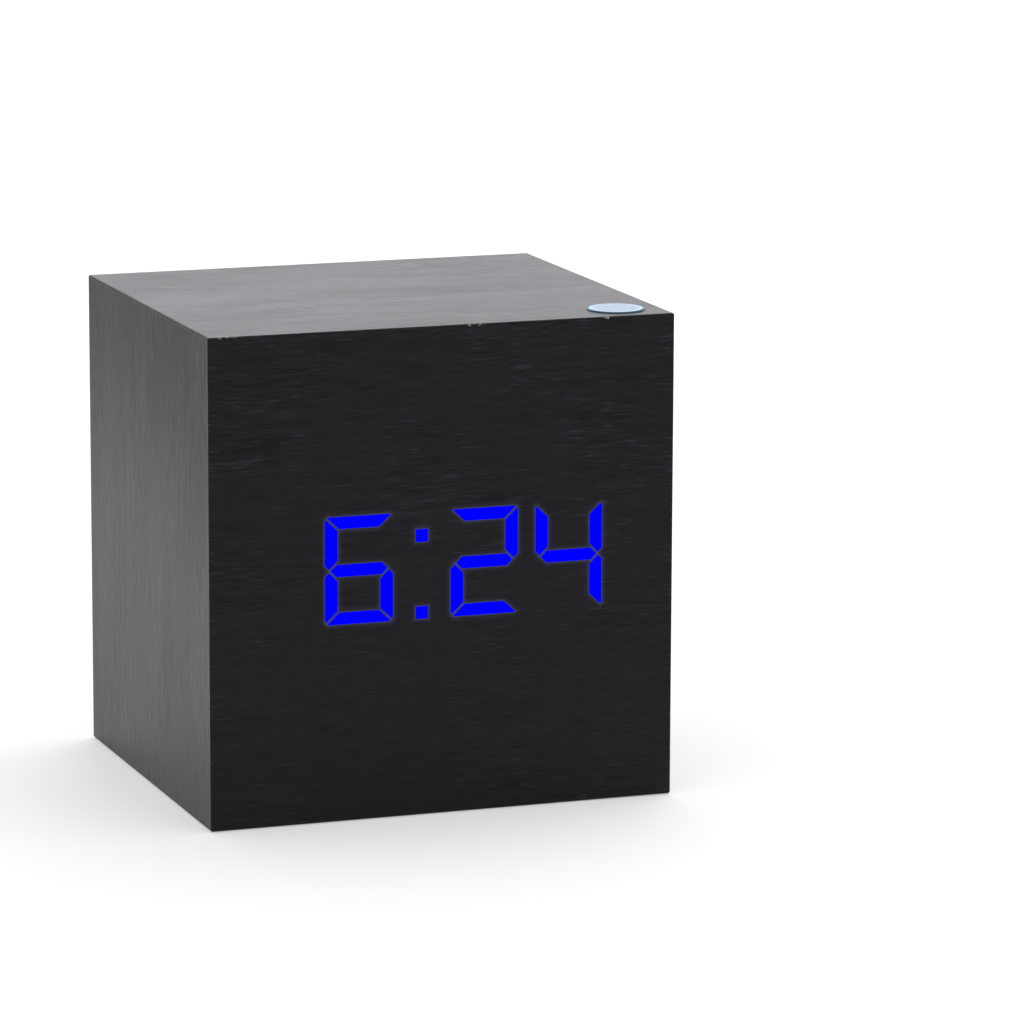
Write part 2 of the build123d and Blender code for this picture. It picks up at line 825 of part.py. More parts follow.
with BuildPart() as power_socket_pin:
    with BuildSketch(upright(socket_floor_y)):
        with Locations((socket_x, socket_z)):
            Circle(socket_pin_radius)
    extrude(amount=socket_floor_y - socket_nose_y + socket_pin_recess)
    chamfer(power_socket_pin.faces().sort_by(Axis.Y)[-1].edges(), length=socket_pin_radius / 2)
write_piece(power_socket_pin, "power_socket_pin")

# Microphone in its rubber sleeve behind the sound hole
microphone_face_recess = 0.6
microphone_lip = 0.7
with BuildPart() as microphone:
    with BuildSketch(upright(main_board_back_y)):
        with Locations((microphone_x, socket_z)):
            Circle(microphone_radius)
    extrude(amount=main_board_back_y - socket_body_back_y)
    with BuildSketch(upright(socket_body_back_y)):
        with Locations((microphone_x, socket_z)):
            Circle(microphone_radius - microphone_lip)
    extrude(amount=microphone_face_recess, mode=Mode.SUBTRACT)
write_piece(microphone, "microphone")

# Parts on the front of the main board, placed as shares of the board
buzzer_radius = 6.0
buzzer_height = 6.0
buzzer_hole_radius = 1.1
buzzer_hole_depth = 2.0
capacitor_radius = 3.15
capacitor_height = 7.0
crystal_radius = 1.0
crystal_length = 6.0
crystal_gap = 0.05
board_place_shares = {
    "buzzer": (0.62, 0.5),
    "capacitor": (-0.72, 0.38),
    "crystal": (0.42, 0.0),
    "thermistor": (-0.72, -0.2),
}


def board_place(part_name):
    """Place of this part on the main board, as x and z."""
    across_share, up_share = board_place_shares[part_name]
    rise = up_share * main_board_height / 2
    return (across_share * main_board_half_width, main_board_middle_z + rise)


with BuildPart() as alarm_buzzer:
    with BuildSketch(upright(main_board_front_y)):
        with Locations(board_place("buzzer")):
            Circle(buzzer_radius)
    extrude(amount=buzzer_height)
    chamfer(alarm_buzzer.faces().sort_by(Axis.Y)[0].edges(), length=buzzer_hole_radius / 2)
    with BuildSketch(upright(main_board_front_y - buzzer_height)):
        with Locations(board_place("buzzer")):
            Circle(buzzer_hole_radius)
    extrude(amount=-buzzer_hole_depth, mode=Mode.SUBTRACT)
write_piece(alarm_buzzer, "alarm_buzzer")

capacitor_groove = 0.6
with BuildPart() as smoothing_capacitor:
    capacitor_x, capacitor_z = board_place("capacitor")
    with BuildSketch(upright(main_board_front_y)):
        with Locations((capacitor_x, capacitor_z)):
            Circle(capacitor_radius)
    extrude(amount=capacitor_height)
    chamfer(smoothing_capacitor.faces().sort_by(Axis.Y)[0].edges(), length=capacitor_groove / 2)
    groove_y = main_board_front_y - capacitor_height / 4
    with BuildSketch(Plane(origin=(capacitor_x, groove_y, capacitor_z), z_dir=(0, 0, 1))):
        with Locations((capacitor_radius, 0)):
            Rectangle(capacitor_groove, capacitor_groove, rotation=45)
    revolve(axis=Axis((capacitor_x, groove_y, capacitor_z), (0, 1, 0)), mode=Mode.SUBTRACT)
write_piece(smoothing_capacitor, "smoothing_capacitor")

with BuildPart() as clock_crystal:
    crystal_x, crystal_z = board_place("crystal")
    crystal_y = main_board_front_y - crystal_radius - crystal_gap
    with BuildSketch(Plane.XY.offset(crystal_z - crystal_length / 2)):
        with Locations((crystal_x, crystal_y)):
            Circle(crystal_radius)
    extrude(amount=crystal_length)
    chamfer(clock_crystal.edges().filter_by(GeomType.CIRCLE), length=crystal_radius / 4)
write_piece(clock_crystal, "clock_crystal")

thermistor_radius = 1.2
thermistor_leg_width = 0.5
thermistor_thickness = 1.8
thermistor_leg_space = 1.3
thermistor_reach = 3.0
with BuildPart() as thermistor:
    thermistor_x, thermistor_z = board_place("thermistor")
    with BuildSketch(upright(main_board_front_y)):
        with Locations((thermistor_x, thermistor_z)):
            with GridLocations(thermistor_leg_space, 0, 2, 1):
                Rectangle(thermistor_leg_width, thermistor_leg_width)
    extrude(amount=thermistor_reach)
    with BuildSketch(upright(main_board_front_y - thermistor_reach)):
        with Locations((thermistor_x, thermistor_z)):
            Circle(thermistor_radius)
    extrude(amount=thermistor_thickness)
write_piece(thermistor, "thermistor")

with BuildPart() as chip_leg_rows:
    add(chip_legs(driver_plane, driver_leg_count, driver_width, driver_height))
    add(chip_legs(controller_plane, controller_leg_count, controller_width, controller_height))
write_piece(chip_leg_rows, "chip_legs")

# Ribbon cable between the two boards, with its plugs
header_width = 5.0
header_height = 5.0
ribbon_width = 10.2
ribbon_thickness = 0.7
display_header_z = display_middle_z + display_screw_rise - header_width
main_header_z = main_board_top_z - header_width
header_front_y = display_board_back_y + header_height
header_back_y = main_board_front_y - header_height
ribbon_span = header_back_y - header_front_y
ribbon_first_share = 0.36
ribbon_second_share = 0.64
ribbon_bend_share = 0.75
with BuildPart() as ribbon_plugs:
    with BuildSketch(upright(display_board_back_y)):
        with Locations((0, display_header_z)):
            Rectangle(header_length, header_width)
    extrude(amount=-header_height)
    with BuildSketch(upright(main_board_front_y)):
        with Locations((0, main_header_z)):
            Rectangle(header_length, header_width)
    extrude(amount=header_height)
write_piece(ribbon_plugs, "ribbon_plugs")

ribbon_radius = ribbon_bend_share * ribbon_first_share * ribbon_span
with BuildPart() as ribbon_cable:
    with BuildLine() as ribbon_route:
        FilletPolyline(
            (0, header_front_y, display_header_z),
            (0, header_front_y + ribbon_first_share * ribbon_span, display_header_z),
            (0, header_front_y + ribbon_second_share * ribbon_span, main_header_z),
            (0, header_back_y, main_header_z),
            radius=ribbon_radius,
        )
    with BuildSketch(upright(header_front_y)):
        with Locations((0, display_header_z)):
            Rectangle(ribbon_width, ribbon_thickness)
    sweep()
write_piece(ribbon_cable, "ribbon_cable")

# Battery tray: a tub for the cells with a flange let into the underside, a
# rebate for the door, a lip for the door's tongues and ribs between the cells
door_lip_reach = 1.0
door_lip_gap = 0.1
ledge_width = 0.95
door_hinge_x = -cavity_half_x + door_lip_reach + door_lip_gap
door_recess_half_y = cavity_half_y + ledge_width
door_recess_right_x = cavity_half_x + ledge_width
lip_top_z = tray_recess + door_thickness
rib_width = 1.0
rib_depth_share = 0.285
rib_depth = rib_depth_share * cell_diameter
tab_width = 3.0
tab_slot_clearance = 0.15
terminal_y = cell_ys[0]
terminal_places = [(cavity_half_x, terminal_y), (-cavity_half_x, -terminal_y)]
with BuildPart() as battery_tray:
    with BuildSketch(Plane.XY.offset(tray_recess)):
        RectangleRounded(2 * flange_half_x, 2 * flange_half_y, tray_corner_radius)
    extrude(amount=flange_thickness)
    with BuildSketch(Plane.XY.offset(flange_top_z)):
        Rectangle(2 * tub_half_x, 2 * tub_half_y)
    extrude(amount=tub_top_z - flange_top_z)
    fillet(battery_tray.faces().sort_by(Axis.Z)[-1].edges(), radius=tray_wall / 2)
    with BuildSketch(Plane.XY.offset(tray_recess)):
        with Locations(((door_recess_right_x + door_hinge_x - door_lip_gap) / 2, 0)):
            Rectangle(door_recess_right_x - door_hinge_x + door_lip_gap, 2 * door_recess_half_y)
    extrude(amount=door_ledge_z - tray_recess, mode=Mode.SUBTRACT)
    with BuildSketch(Plane.XY.offset(lip_top_z)):
        Rectangle(2 * cavity_half_x, 2 * cavity_half_y)
    extrude(amount=cavity_top_z - lip_top_z, mode=Mode.SUBTRACT)
    with BuildSketch(Plane.XY.offset(cavity_top_z - rib_depth)):
        with GridLocations(0, cell_pitch, 1, cell_count - 1):
            Rectangle(2 * (cavity_half_x - spring_height), rib_width)
    extrude(amount=rib_depth)
    with BuildSketch(Plane.XY.offset(cavity_top_z)):
        with Locations(*terminal_places):
            Rectangle(
                2 * (contact_thickness + tab_slot_clearance), tab_width + 2 * tab_slot_clearance
            )
    extrude(amount=tray_wall + cut_overrun, mode=Mode.SUBTRACT)
    for x, y in tray_screw_places:
        with Locations(Plane(origin=(x, y, tray_recess), z_dir=(0, 0, -1))):
            CounterSinkHole(
                tray_screw_radius + screw_hole_clearance, tray_screw_head_radius, flange_thickness
            )
write_piece(battery_tray, "battery_tray")

tray_screw_sink = 0.2
tray_screw = sunk_screw_solid(
    tray_screw_radius, tray_screw_head_radius - tray_screw_sink, tray_screw_length
)
tray_screw_planes = [
    Plane(origin=(x, y, tray_recess + tray_screw_sink), x_dir=(1, 0, 0), z_dir=(0, 0, -1))
    for x, y in tray_screw_places
]
slot_width = 0.5
slot_depth = 0.4
slot_length = 2.2
with BuildPart() as battery_tray_screws:
    with Locations(*tray_screw_planes):
        add(tray_screw)
    with BuildSketch(Plane.XY.offset(tray_recess + tray_screw_sink)):
        with Locations(*tray_screw_places):
            for turn in (0, 90):
                Rectangle(slot_length, slot_width, rotation=turn)
    extrude(amount=slot_depth, mode=Mode.SUBTRACT)
write_piece(battery_tray_screws, "battery_tray_screws")

# Cells, laid in turn the other way round
cell_nub_radius = 1.9
cell_nub_length = 0.9
cell_edge_chamfer = 0.4
cell_body_length = cell_length - cell_nub_length
plate_inner_x = cavity_half_x - contact_thickness
with BuildPart() as battery_cells:
    for number, cell_y in enumerate(cell_ys):
        facing = 1 if number % 2 == 0 else -1
        body_end_x = facing * (plate_inner_x - cell_nub_length)
        with BuildSketch(Plane.YZ.offset(body_end_x)):
            with Locations((cell_y, cell_middle_z)):
                Circle(cell_diameter / 2)
        extrude(amount=-facing * cell_body_length)
        with BuildSketch(Plane.YZ.offset(body_end_x)):
            with Locations((cell_y, cell_middle_z)):
                Circle(cell_nub_radius)
        extrude(amount=facing * cell_nub_length)
    body_edges = battery_cells.edges().filter_by(GeomType.CIRCLE)
    chamfer(body_edges.filter_by(lambda edge: edge.radius > cell_nub_radius), length=cell_edge_chamfer)
write_piece(battery_cells, "battery_cells")

# Contact plates at both ends: two single ones with a solder tab, two bridges
plate_space = 3.0
plate_foot_inset = 1.65
plate_head_inset = 1.45
plate_width = cell_pitch - plate_space
plate_bottom_z = cell_middle_z - cell_diameter / 2 + plate_foot_inset
plate_top_z = cell_middle_z + cell_diameter / 2 - plate_head_inset
tab_rise = 2.4
tab_top_z = tub_top_z + tab_rise
plate_rows = [
    (cavity_half_x, cell_ys[:1]),
    (cavity_half_x, cell_ys[1:]),
    (-cavity_half_x, cell_ys[:-1]),
    (-cavity_half_x, cell_ys[-1:]),
]
with BuildPart() as contact_plates:
    for wall_x, rows in plate_rows:
        inward = -contact_thickness if wall_x > 0 else contact_thickness
        with BuildSketch(Plane.YZ.offset(wall_x)):
            with Locations(((rows[0] + rows[-1]) / 2, (plate_bottom_z + plate_top_z) / 2)):
                Rectangle(plate_width + rows[-1] - rows[0], plate_top_z - plate_bottom_z)
            if len(rows) == 1:
                with Locations((rows[0], (plate_top_z + tab_top_z) / 2)):
                    Rectangle(tab_width, tab_top_z - plate_top_z)
        extrude(amount=inward)
write_piece(contact_plates, "contact_plates")

# Bowed springs that press on the flat ends of the cells
leaf_width = 3.0
leaf_thickness = 0.3
leaf_half_height = 3.0
with BuildPart() as contact_springs:
    for number, cell_y in enumerate(cell_ys):
        facing = 1 if number % 2 == 0 else -1
        foot_x = -facing * plate_inner_x
        crest_x = -facing * (plate_inner_x - spring_height)
        inner_crest_x = crest_x - facing * leaf_thickness
        inner_reach = leaf_half_height - leaf_thickness
        with BuildSketch(Plane.XZ.offset(-cell_y)):
            with BuildLine():
                ThreePointArc(
                    (foot_x, cell_middle_z - leaf_half_height),
                    (crest_x, cell_middle_z),
                    (foot_x, cell_middle_z + leaf_half_height),
                )
                Line(
                    (foot_x, cell_middle_z + leaf_half_height),
                    (foot_x, cell_middle_z + inner_reach),
                )
                ThreePointArc(
                    (foot_x, cell_middle_z + inner_reach),
                    (inner_crest_x, cell_middle_z),
                    (foot_x, cell_middle_z - inner_reach),
                )
                Line(
                    (foot_x, cell_middle_z - inner_reach),
                    (foot_x, cell_middle_z - leaf_half_height),
                )
            make_face()
        extrude(amount=leaf_width / 2, both=True)
write_piece(contact_springs, "contact_springs")

# Battery door: a plate with two tongues behind the lip, a latch and a thumb grip
tongue_width_share = 0.33
tongue_width = tongue_width_share * cell_pitch
tongue_gap = 0.15
tongue_thickness = 0.95
tongue_root = 2.0
tongue_end_gap = 0.1
tongue_bottom_z = lip_top_z + tongue_gap
tongue_end_x = -cavity_half_x + tongue_end_gap
door_right_x = door_recess_right_x - running_clearance
door_half_y = door_recess_half_y - running_clearance
latch_width = 8.0
latch_slot = 0.8
latch_length = 6.0
grip_count = 4
grip_pitch = 1.4
grip_width = 0.6
grip_depth = 0.4
latch_nib = 0.15
with BuildPart() as battery_door:
    with BuildSketch(Plane.XY.offset(tray_recess)):
        with Locations(((door_hinge_x + door_right_x) / 2, 0)):
            Rectangle(door_right_x - door_hinge_x, 2 * door_half_y)
        with Locations((door_right_x - latch_length / 2, 0)):
            with GridLocations(0, latch_width + latch_slot, 1, 2):
                Rectangle(latch_length, latch_slot, mode=Mode.SUBTRACT)
    extrude(amount=door_thickness)
    with BuildSketch(Plane.XY.offset(tray_recess)):
        with Locations((door_right_x - latch_length, 0)):
            with GridLocations(grip_pitch, 0, grip_count, 1):
                Rectangle(grip_width, latch_width - latch_slot)
    extrude(amount=grip_depth, mode=Mode.SUBTRACT)
    with BuildSketch(Plane.XY.offset(lip_top_z - grip_depth)):
        with Locations((door_right_x + latch_nib / 2, 0)):
            Rectangle(latch_nib, latch_width - latch_slot)
    extrude(amount=grip_depth)
    with BuildSketch(Plane.XY.offset(lip_top_z)):
        with GridLocations(0, cell_pitch, 1, cell_count - 1):
            with Locations((door_hinge_x + tongue_root / 2 + tongue_gap, 0)):
                Rectangle(tongue_root, tongue_width)
    extrude(amount=tongue_gap + tongue_thickness)
    with BuildSketch(Plane.XY.offset(tongue_bottom_z)):
        with GridLocations(0, cell_pitch, 1, cell_count - 1):
            with Locations(((tongue_end_x + door_hinge_x + tongue_root) / 2, 0)):
                Rectangle(door_hinge_x + tongue_root - tongue_end_x, tongue_width)
    extrude(amount=tongue_thickness)
write_piece(battery_door, "battery_door")

# Leads from the solder tabs up to their plug on the main board
lead_diameter = 1.2
lead_side_count = 8
lead_plug_length = 6.0
lead_plug_width = 4.5
lead_plug_height = 5.0
lead_space = 2.0
lead_plug_rise = 3.4
lead_plug_z = main_board_bottom_z + lead_plug_rise
lead_plug_y = main_board_front_y - lead_plug_height
with BuildPart() as lead_plug:
    with BuildSketch(upright(main_board_front_y)):
        with Locations((0, lead_plug_z)):
            Rectangle(lead_plug_length, lead_plug_width)
    extrude(amount=lead_plug_height)
write_piece(lead_plug, "lead_plug")

tab_middle_x = cavity_half_x - contact_thickness / 2
lead_rise = 6.0
lead_bend_share = 0.45
lead_middle_shares = {"red_lead": (0.6, 0.1, 0.35), "black_lead": (0.6, 0.2, 0.25)}
lead_routes = {}
for name, side in (("red_lead", 1), ("black_lead", -1)):
    across_share, along_share, entry_share = lead_middle_shares[name]
    tab_x = side * tab_middle_x
    tab_y = side * terminal_y
    plug_x = side * lead_space / 2
    lead_routes[name] = [
        (tab_x, tab_y, tab_top_z),
        (tab_x, tab_y, tab_top_z + lead_rise),
        (across_share * tab_x, along_share * tab_y, lead_plug_z + lead_diameter),
        (plug_x, entry_share * lead_plug_y, lead_plug_z),
        (plug_x, lead_plug_y, lead_plug_z),
    ]
for name, points in lead_routes.items():
    corners = [Vector(*point) for point in points]
    runs = [after - before for before, after in zip(corners, corners[1:])]
    bend_radii = []
    for before, after in zip(runs, runs[1:]):
        half_turn = radians(before.get_angle(after) / 2)
        bend_radii.append(lead_bend_share * min(before.length, after.length) / tan(half_turn))
    print(name, "bend radii", [round(radius, 2) for radius in bend_radii])
    with BuildPart() as lead:
        with BuildLine() as lead_route:
            FilletPolyline(*points, radius=bend_radii)
        with BuildSketch(Plane(origin=points[0], z_dir=(0, 0, 1))):
            RegularPolygon(lead_diameter / 2, lead_side_count)
        sweep()
    write_piece(lead, name)
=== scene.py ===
# Desk clock in a block of black-stained wood, with blue digits that shine through its front
import math

import bmesh
import bpy
import numpy as np
from mathutils import Matrix, Vector


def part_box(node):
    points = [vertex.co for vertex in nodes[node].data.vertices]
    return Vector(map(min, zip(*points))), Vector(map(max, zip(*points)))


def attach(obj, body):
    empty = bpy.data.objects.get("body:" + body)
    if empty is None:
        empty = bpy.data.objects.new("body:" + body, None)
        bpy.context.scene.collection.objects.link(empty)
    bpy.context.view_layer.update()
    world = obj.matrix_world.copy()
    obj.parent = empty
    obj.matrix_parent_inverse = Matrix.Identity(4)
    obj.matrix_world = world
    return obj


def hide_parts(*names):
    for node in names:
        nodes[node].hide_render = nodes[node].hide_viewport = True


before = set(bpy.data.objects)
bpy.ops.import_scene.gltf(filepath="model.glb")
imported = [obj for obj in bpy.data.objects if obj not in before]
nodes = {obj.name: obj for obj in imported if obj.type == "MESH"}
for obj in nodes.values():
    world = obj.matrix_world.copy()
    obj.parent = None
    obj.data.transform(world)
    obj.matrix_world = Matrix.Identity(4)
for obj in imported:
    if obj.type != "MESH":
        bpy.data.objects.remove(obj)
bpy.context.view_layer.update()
scene = bpy.context.scene
mm = 0.001
print("frame loaded,", len(nodes), "CAD nodes")

blockLow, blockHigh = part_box("front_veneer")[0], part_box("back_veneer")[1]
blockSize = blockHigh - blockLow

# Camera, solved from the corners of the block in the photograph; angles in degrees, lengths in metres
cameraView = {
    "place": (-0.24959, -0.74531, 0.19232),
    "azimuth": 19.941,  # turned to the right from straight along +Y
    "down": 11.158,  # below the horizon
    "roll": 0.214,
    "lens": 196.156,  # mm
    "sensor": 36.0,  # mm
    "clip": (0.05, 30.0),
}
azimuth, down, roll = (math.radians(cameraView[key]) for key in ("azimuth", "down", "roll"))
forward = Vector((math.sin(azimuth) * math.cos(down), math.cos(azimuth) * math.cos(down), -math.sin(down)))
levelRight = forward.cross(Vector((0, 0, 1))).normalized()
levelUp = levelRight.cross(forward)
right = levelRight * math.cos(roll) + levelUp * math.sin(roll)
up = levelUp * math.cos(roll) - levelRight * math.sin(roll)
cameraData = bpy.data.cameras.new("deskCamera")
cameraData.lens = cameraView["lens"]
cameraData.sensor_width = cameraView["sensor"]
cameraData.clip_start, cameraData.clip_end = cameraView["clip"]
camera = bpy.data.objects.new("deskCamera", cameraData)
scene.collection.objects.link(camera)
turn = Matrix((right, up, -forward)).transposed().to_4x4()
camera.matrix_world = Matrix.Translation(cameraView["place"]) @ turn
scene.camera = camera
scene.view_settings.view_transform = "Standard"
print("camera placed")


def hexToLinear(hexColour):
    # sRGB hex to a linear colour with full opacity: value / 12.92 when it is small, and otherwise
    # ((value + 0.055) / 1.055) ^ 2.4
    values = np.array([int(hexColour[i : i + 2], 16) for i in (1, 3, 5)]) / 255
    linear = np.where(values <= 0.04045, values / 12.92, ((values + 0.055) / 1.055) ** 2.4)
    return (*linear.tolist(), 1.0)


def addNode(tree, kind, settings, inputs, output=0):
    # adds a shader node with its settings, and fills its inputs, by their order or by name, with a link,
    # a hex colour or a value; gives one of its outputs
    node = tree.nodes.new("ShaderNode" + kind)
    for name, value in settings.items():
        setattr(node, name, value)
    for socket, value in inputs.items() if isinstance(inputs, dict) else enumerate(inputs):
        if isinstance(value, bpy.types.NodeSocket):
            tree.links.new(value, node.inputs[socket])
        elif isinstance(value, str):
            node.inputs[socket].default_value = hexToLinear(value)
        else:
            node.inputs[socket].default_value = value
    return node.outputs[output] if node.outputs else None


def startMaterial(name, surface):
    # a material with one Principled shader that has these inputs
    material = bpy.data.materials.new(name)
    material.use_nodes = True
    tree = material.node_tree
    tree.nodes.clear()
    closure = addNode(tree, "BsdfPrincipled", {}, surface)
    addNode(tree, "OutputMaterial", {}, {"Surface": closure})
    return material, tree, closure.node


def pointInMm(tree):
    # Object coordinates in millimetres
    place = addNode(tree, "TexCoord", {}, (), "Object")
    return addNode(tree, "VectorMath", {"operation": "SCALE"}, {0: place, "Scale": 1 / mm})


def dress(material, *names):
    # gives CAD nodes this material
    for name in names:
        nodes[name].data.materials.clear()
        nodes[name].data.materials.append(material)


# The stained oak veneer under matt lacquer. Open pores run along the grain as short
# dashes, and the lacquer shows as a pale sheen only where the eye skims the face.
# Sizes are in mm, and a range is that of a noise or a distance over which something takes over.
veneer = {
    "dark": "#08070c",
    "light": "#121118",
    "pore": "#030304",
    "scratch": "#2b2b31",
    "ior": 1.27,
    "roughness": (0.34, 0.46),
    # Per sheet: dashes and bands along and across the grain, the share of the bands, how many times
    # the sheen of the pores that of the ridges is, the spread of the noise over which it changes, the
    # depth of the pores, and the strength of the painted highlight line along the rounded edge beside the
    # front and back sheets
    "sheets": {
        "front": {
            "dash": (3.2, 0.25), "band": (11.0, 1.2), "bandShare": 0.4,
            "sheen": 1.6, "spread": 0.15, "depth": 0.05, "paintedEdgeLine": 0.0,
        },
        "top": {
            "dash": (2.2, 0.7), "band": (6.0, 2.0), "bandShare": 0.4,
            "sheen": 3.2, "spread": 0.14, "depth": 0.1, "paintedEdgeLine": 0.2,
        },
        "side": {
            "dash": (2.8, 0.85), "band": (12.0, 2.6), "bandShare": 0.4,
            "sheen": 3.8, "spread": 0.14, "depth": 0.085, "paintedEdgeLine": 0.2,
        },
    },
    "toneRange": (0.38, 0.62),
    "poreRange": (0.31, 0.24),
    "scratchRange": (0.61, 0.8),
    "scratchEdge": (0.3, 1.6, 0.06),  # range from the edge, and what is added to the noise there
    "cloud": (30.0, 8.0),
    "cloudShare": 0.15,
    "patch": 11.0,  # over which the pores come and go
    "patchRange": (0.35, 0.65),
    "patchContrast": (0.35, 1.15),
    "figure": (14.0, 46.0, 0.58),  # heights over which the grain of the front fades, and what is left of it
    "waveSize": 7.0,
    "waveDepth": 0.5,
    "paintedSheenByHeight": (0.68, 1.9),  # painted sheen: the upright sheets reflect less towards the top, for how the light falls on them
    "paintedSheenHeights": (67.0, 26.0),
    # grey of real wear in patches along the edges, also the colour of a painted highlight line along rounded
    # edges
    "wearAndPaintedLine": "#8b8b8f",
    "wearReach": (0.05, 0.3),  # in from an edge
    "wearPatch": 1.4,
    "wearRange": (0.68, 0.76),
    # painted highlight line along the rounded edges beside the front and back sheets
    "paintedLineReach": (0.4, 1.0),
    "paintedLinePatch": 12.0,
    "paintedLineRange": (0.35, 0.65),
    "paintedLineShare": (0.1, 1.0),  # of the painted highlight line's strength, where it is faint and where it is clear
    # pale of bare wood in the chips, also a painted highlight on the top front left corner
    "bareWoodAndHighlight": "#b4b2b2",
    # places along the top front edge, half lengths, and reach into the top and down the front; the last, at
    # the left corner, is a painted highlight rather than a chip
    "chipsAndCornerHighlight": (
        (23.9, 0.5, 0.5, 0.17), (3.6, 0.3, 0.4, 0.15), (5.3, 1.2, 0.7, 0.04), (-20.8, 0.3, 0.3, 0.12),
        (-31.4, 2.4, 0.8, 0.03),
    ),
    "chipAndHighlightRange": (0.6, 1.0),
    "chipAndHighlightScale": 3.0,  # waves to a mm in the noise that makes them ragged
}
# Light that creeps sideways in the wood round a lit segment
glow = {
    "strength": 0.07,
    "fade": 0.2,  # mm
    "tint": "#b8b8ff",
}
# Segment sizes in mm, as in the CAD source
digits = {
    "upright": 1.85,
    "level": 1.7,
    "gap": 0.3,
    "tipInset": 0.75,
    "cornerCut": 0.75,
    "lit": {"lit_hour_digit": "acdefg", "lit_tens_digit": "abdeg", "lit_units_digit": "bcfg"},
}


def segmentEdges(width, height):
    # edges of the seven segments as rows (across, up, reach): the segment is where
    # across * x + up * z < reach holds for each of its rows, from the digit's lower left corner
    gap, tip = digits["gap"], digits["tipInset"]
    upright, level = digits["upright"] + gap, digits["level"] + gap
    mitre = np.array((-level, -upright)) / math.hypot(level, upright)
    mitreReach = mitre @ (-gap / 2, height + gap / 2)
    slant = math.sqrt(0.5)
    cut = (-slant, slant, slant * height - digits["cornerCut"] / 2)
    tipReach = slant * (tip - gap / 2)
    middle = slant * height / 2
    mirror = {"across": np.array((-1, 1, 1)), "up": np.array((1, -1, 1))}

    def turnedAcross(rows):
        # x becomes width - x
        return rows * mirror["across"] - np.outer(rows[:, 0] * width, (0, 0, 1))

    def turnedUp(rows):
        # z becomes height - z
        return rows * mirror["up"] - np.outer(rows[:, 1] * height, (0, 0, 1))

    halfBar = np.array([(*mitre, mitreReach - gap / 2), cut])
    bar = np.vstack([[(0, 1, height), (0, -1, digits["level"] - height)], halfBar, turnedAcross(halfBar)])
    post = np.array([
        (-1, 0, 0),
        (1, 0, digits["upright"]),
        (*-mitre, -mitreReach - gap / 2),
        cut,
        (-slant, -slant, -tipReach - middle - gap / 2),
        (slant, -slant, tipReach - middle - gap / 2),
    ])
    halfMiddle = np.array([
        (-slant, slant, middle - tipReach - gap / 2),
        (-slant, -slant, -middle - tipReach - gap / 2),
    ])
    levels = [(0, 1, (height + digits["level"]) / 2), (0, -1, (digits["level"] - height) / 2)]
    return {
        "a": bar,
        "b": turnedAcross(post),
        "c": turnedUp(turnedAcross(post)),
        "d": turnedUp(bar),
        "e": turnedUp(post),
        "f": post,
        "g": np.vstack([levels, halfMiddle, turnedAcross(halfMiddle)]),
    }


def litShapes():
    # rows of edges of each lit segment and dot, in mm of the shared frame
    low, high = (np.array(corner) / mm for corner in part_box("lit_hour_digit"))
    edges = segmentEdges(high[0] - low[0], high[2] - low[2])
    for name, letters in digits["lit"].items():
        shift = np.array(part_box(name)[0]) / mm
        for letter in letters:
            rows = edges[letter]
            yield rows + np.outer(rows[:, :2] @ (shift[0], low[2]), (0, 0, 1))
    low, high = (np.array(corner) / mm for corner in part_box("lit_colon"))
    dot = high[0] - low[0]
    for base in (low[2], high[2] - dot):
        yield np.array([(-1, 0, -low[0]), (1, 0, high[0]), (0, -1, -base), (0, 1, base + dot)])


def addGlow(tree, point):
    # sum over the lit shapes of exp(-distance / fade), where the distance to a shape is the
    # largest of across * x + up * z - reach over its edges
    parts = addNode(tree, "SeparateXYZ", {}, (point,)).node.outputs
    lifted = addNode(tree, "CombineXYZ", {}, (parts[0], 1.0, parts[2]))
    total = 0.0
    for rows in litShapes():
        distance = 0.0
        for across, lift, reach in rows.tolist():
            edge = (across, -reach, lift)
            beyond = addNode(tree, "VectorMath", {"operation": "DOT_PRODUCT"}, (lifted, edge), "Value")
            distance = addNode(tree, "Math", {"operation": "MAXIMUM"}, (beyond, distance))
        drop = addNode(tree, "Math", {"operation": "MULTIPLY"}, (distance, -1 / glow["fade"]))
        light = addNode(tree, "Math", {"operation": "EXPONENT"}, (drop,))
        total = addNode(tree, "Math", {"operation": "ADD"}, (light, total))
    return total


def addGrain(tree, point, size, grainAxis, detail):
    # noise drawn out along the grain; size holds its length and its width in mm
    scale = [1 / size[1]] * 3
    scale[grainAxis] = 1 / size[0]
    drawnOut = addNode(tree, "VectorMath", {"operation": "MULTIPLY"}, (point, scale))
    return addNode(tree, "TexNoise", {}, {"Vector": drawnOut, "Scale": 1.0, "Detail": detail})


def addEdgeDistances(tree, point):
    # distance to the nearest edge of the block, as the middle one of the distances to its faces,
    # and distance to its front or back face
    centre = (blockLow + blockHigh) / 2 / mm
    fromCentre = addNode(tree, "VectorMath", {"operation": "SUBTRACT"}, (point, centre))
    reach = addNode(tree, "VectorMath", {"operation": "ABSOLUTE"}, (fromCentre,))
    depth = addNode(tree, "VectorMath", {"operation": "SUBTRACT"}, (blockSize / 2 / mm, reach))
    faces = addNode(tree, "SeparateXYZ", {}, (depth,)).node.outputs
    lower = addNode(tree, "Math", {"operation": "MINIMUM"}, (faces[0], faces[1]))
    higher = addNode(tree, "Math", {"operation": "MAXIMUM"}, (faces[0], faces[1]))
    capped = addNode(tree, "Math", {"operation": "MINIMUM"}, (higher, faces[2]))
    return addNode(tree, "Math", {"operation": "MAXIMUM"}, (lower, capped)), faces[1]


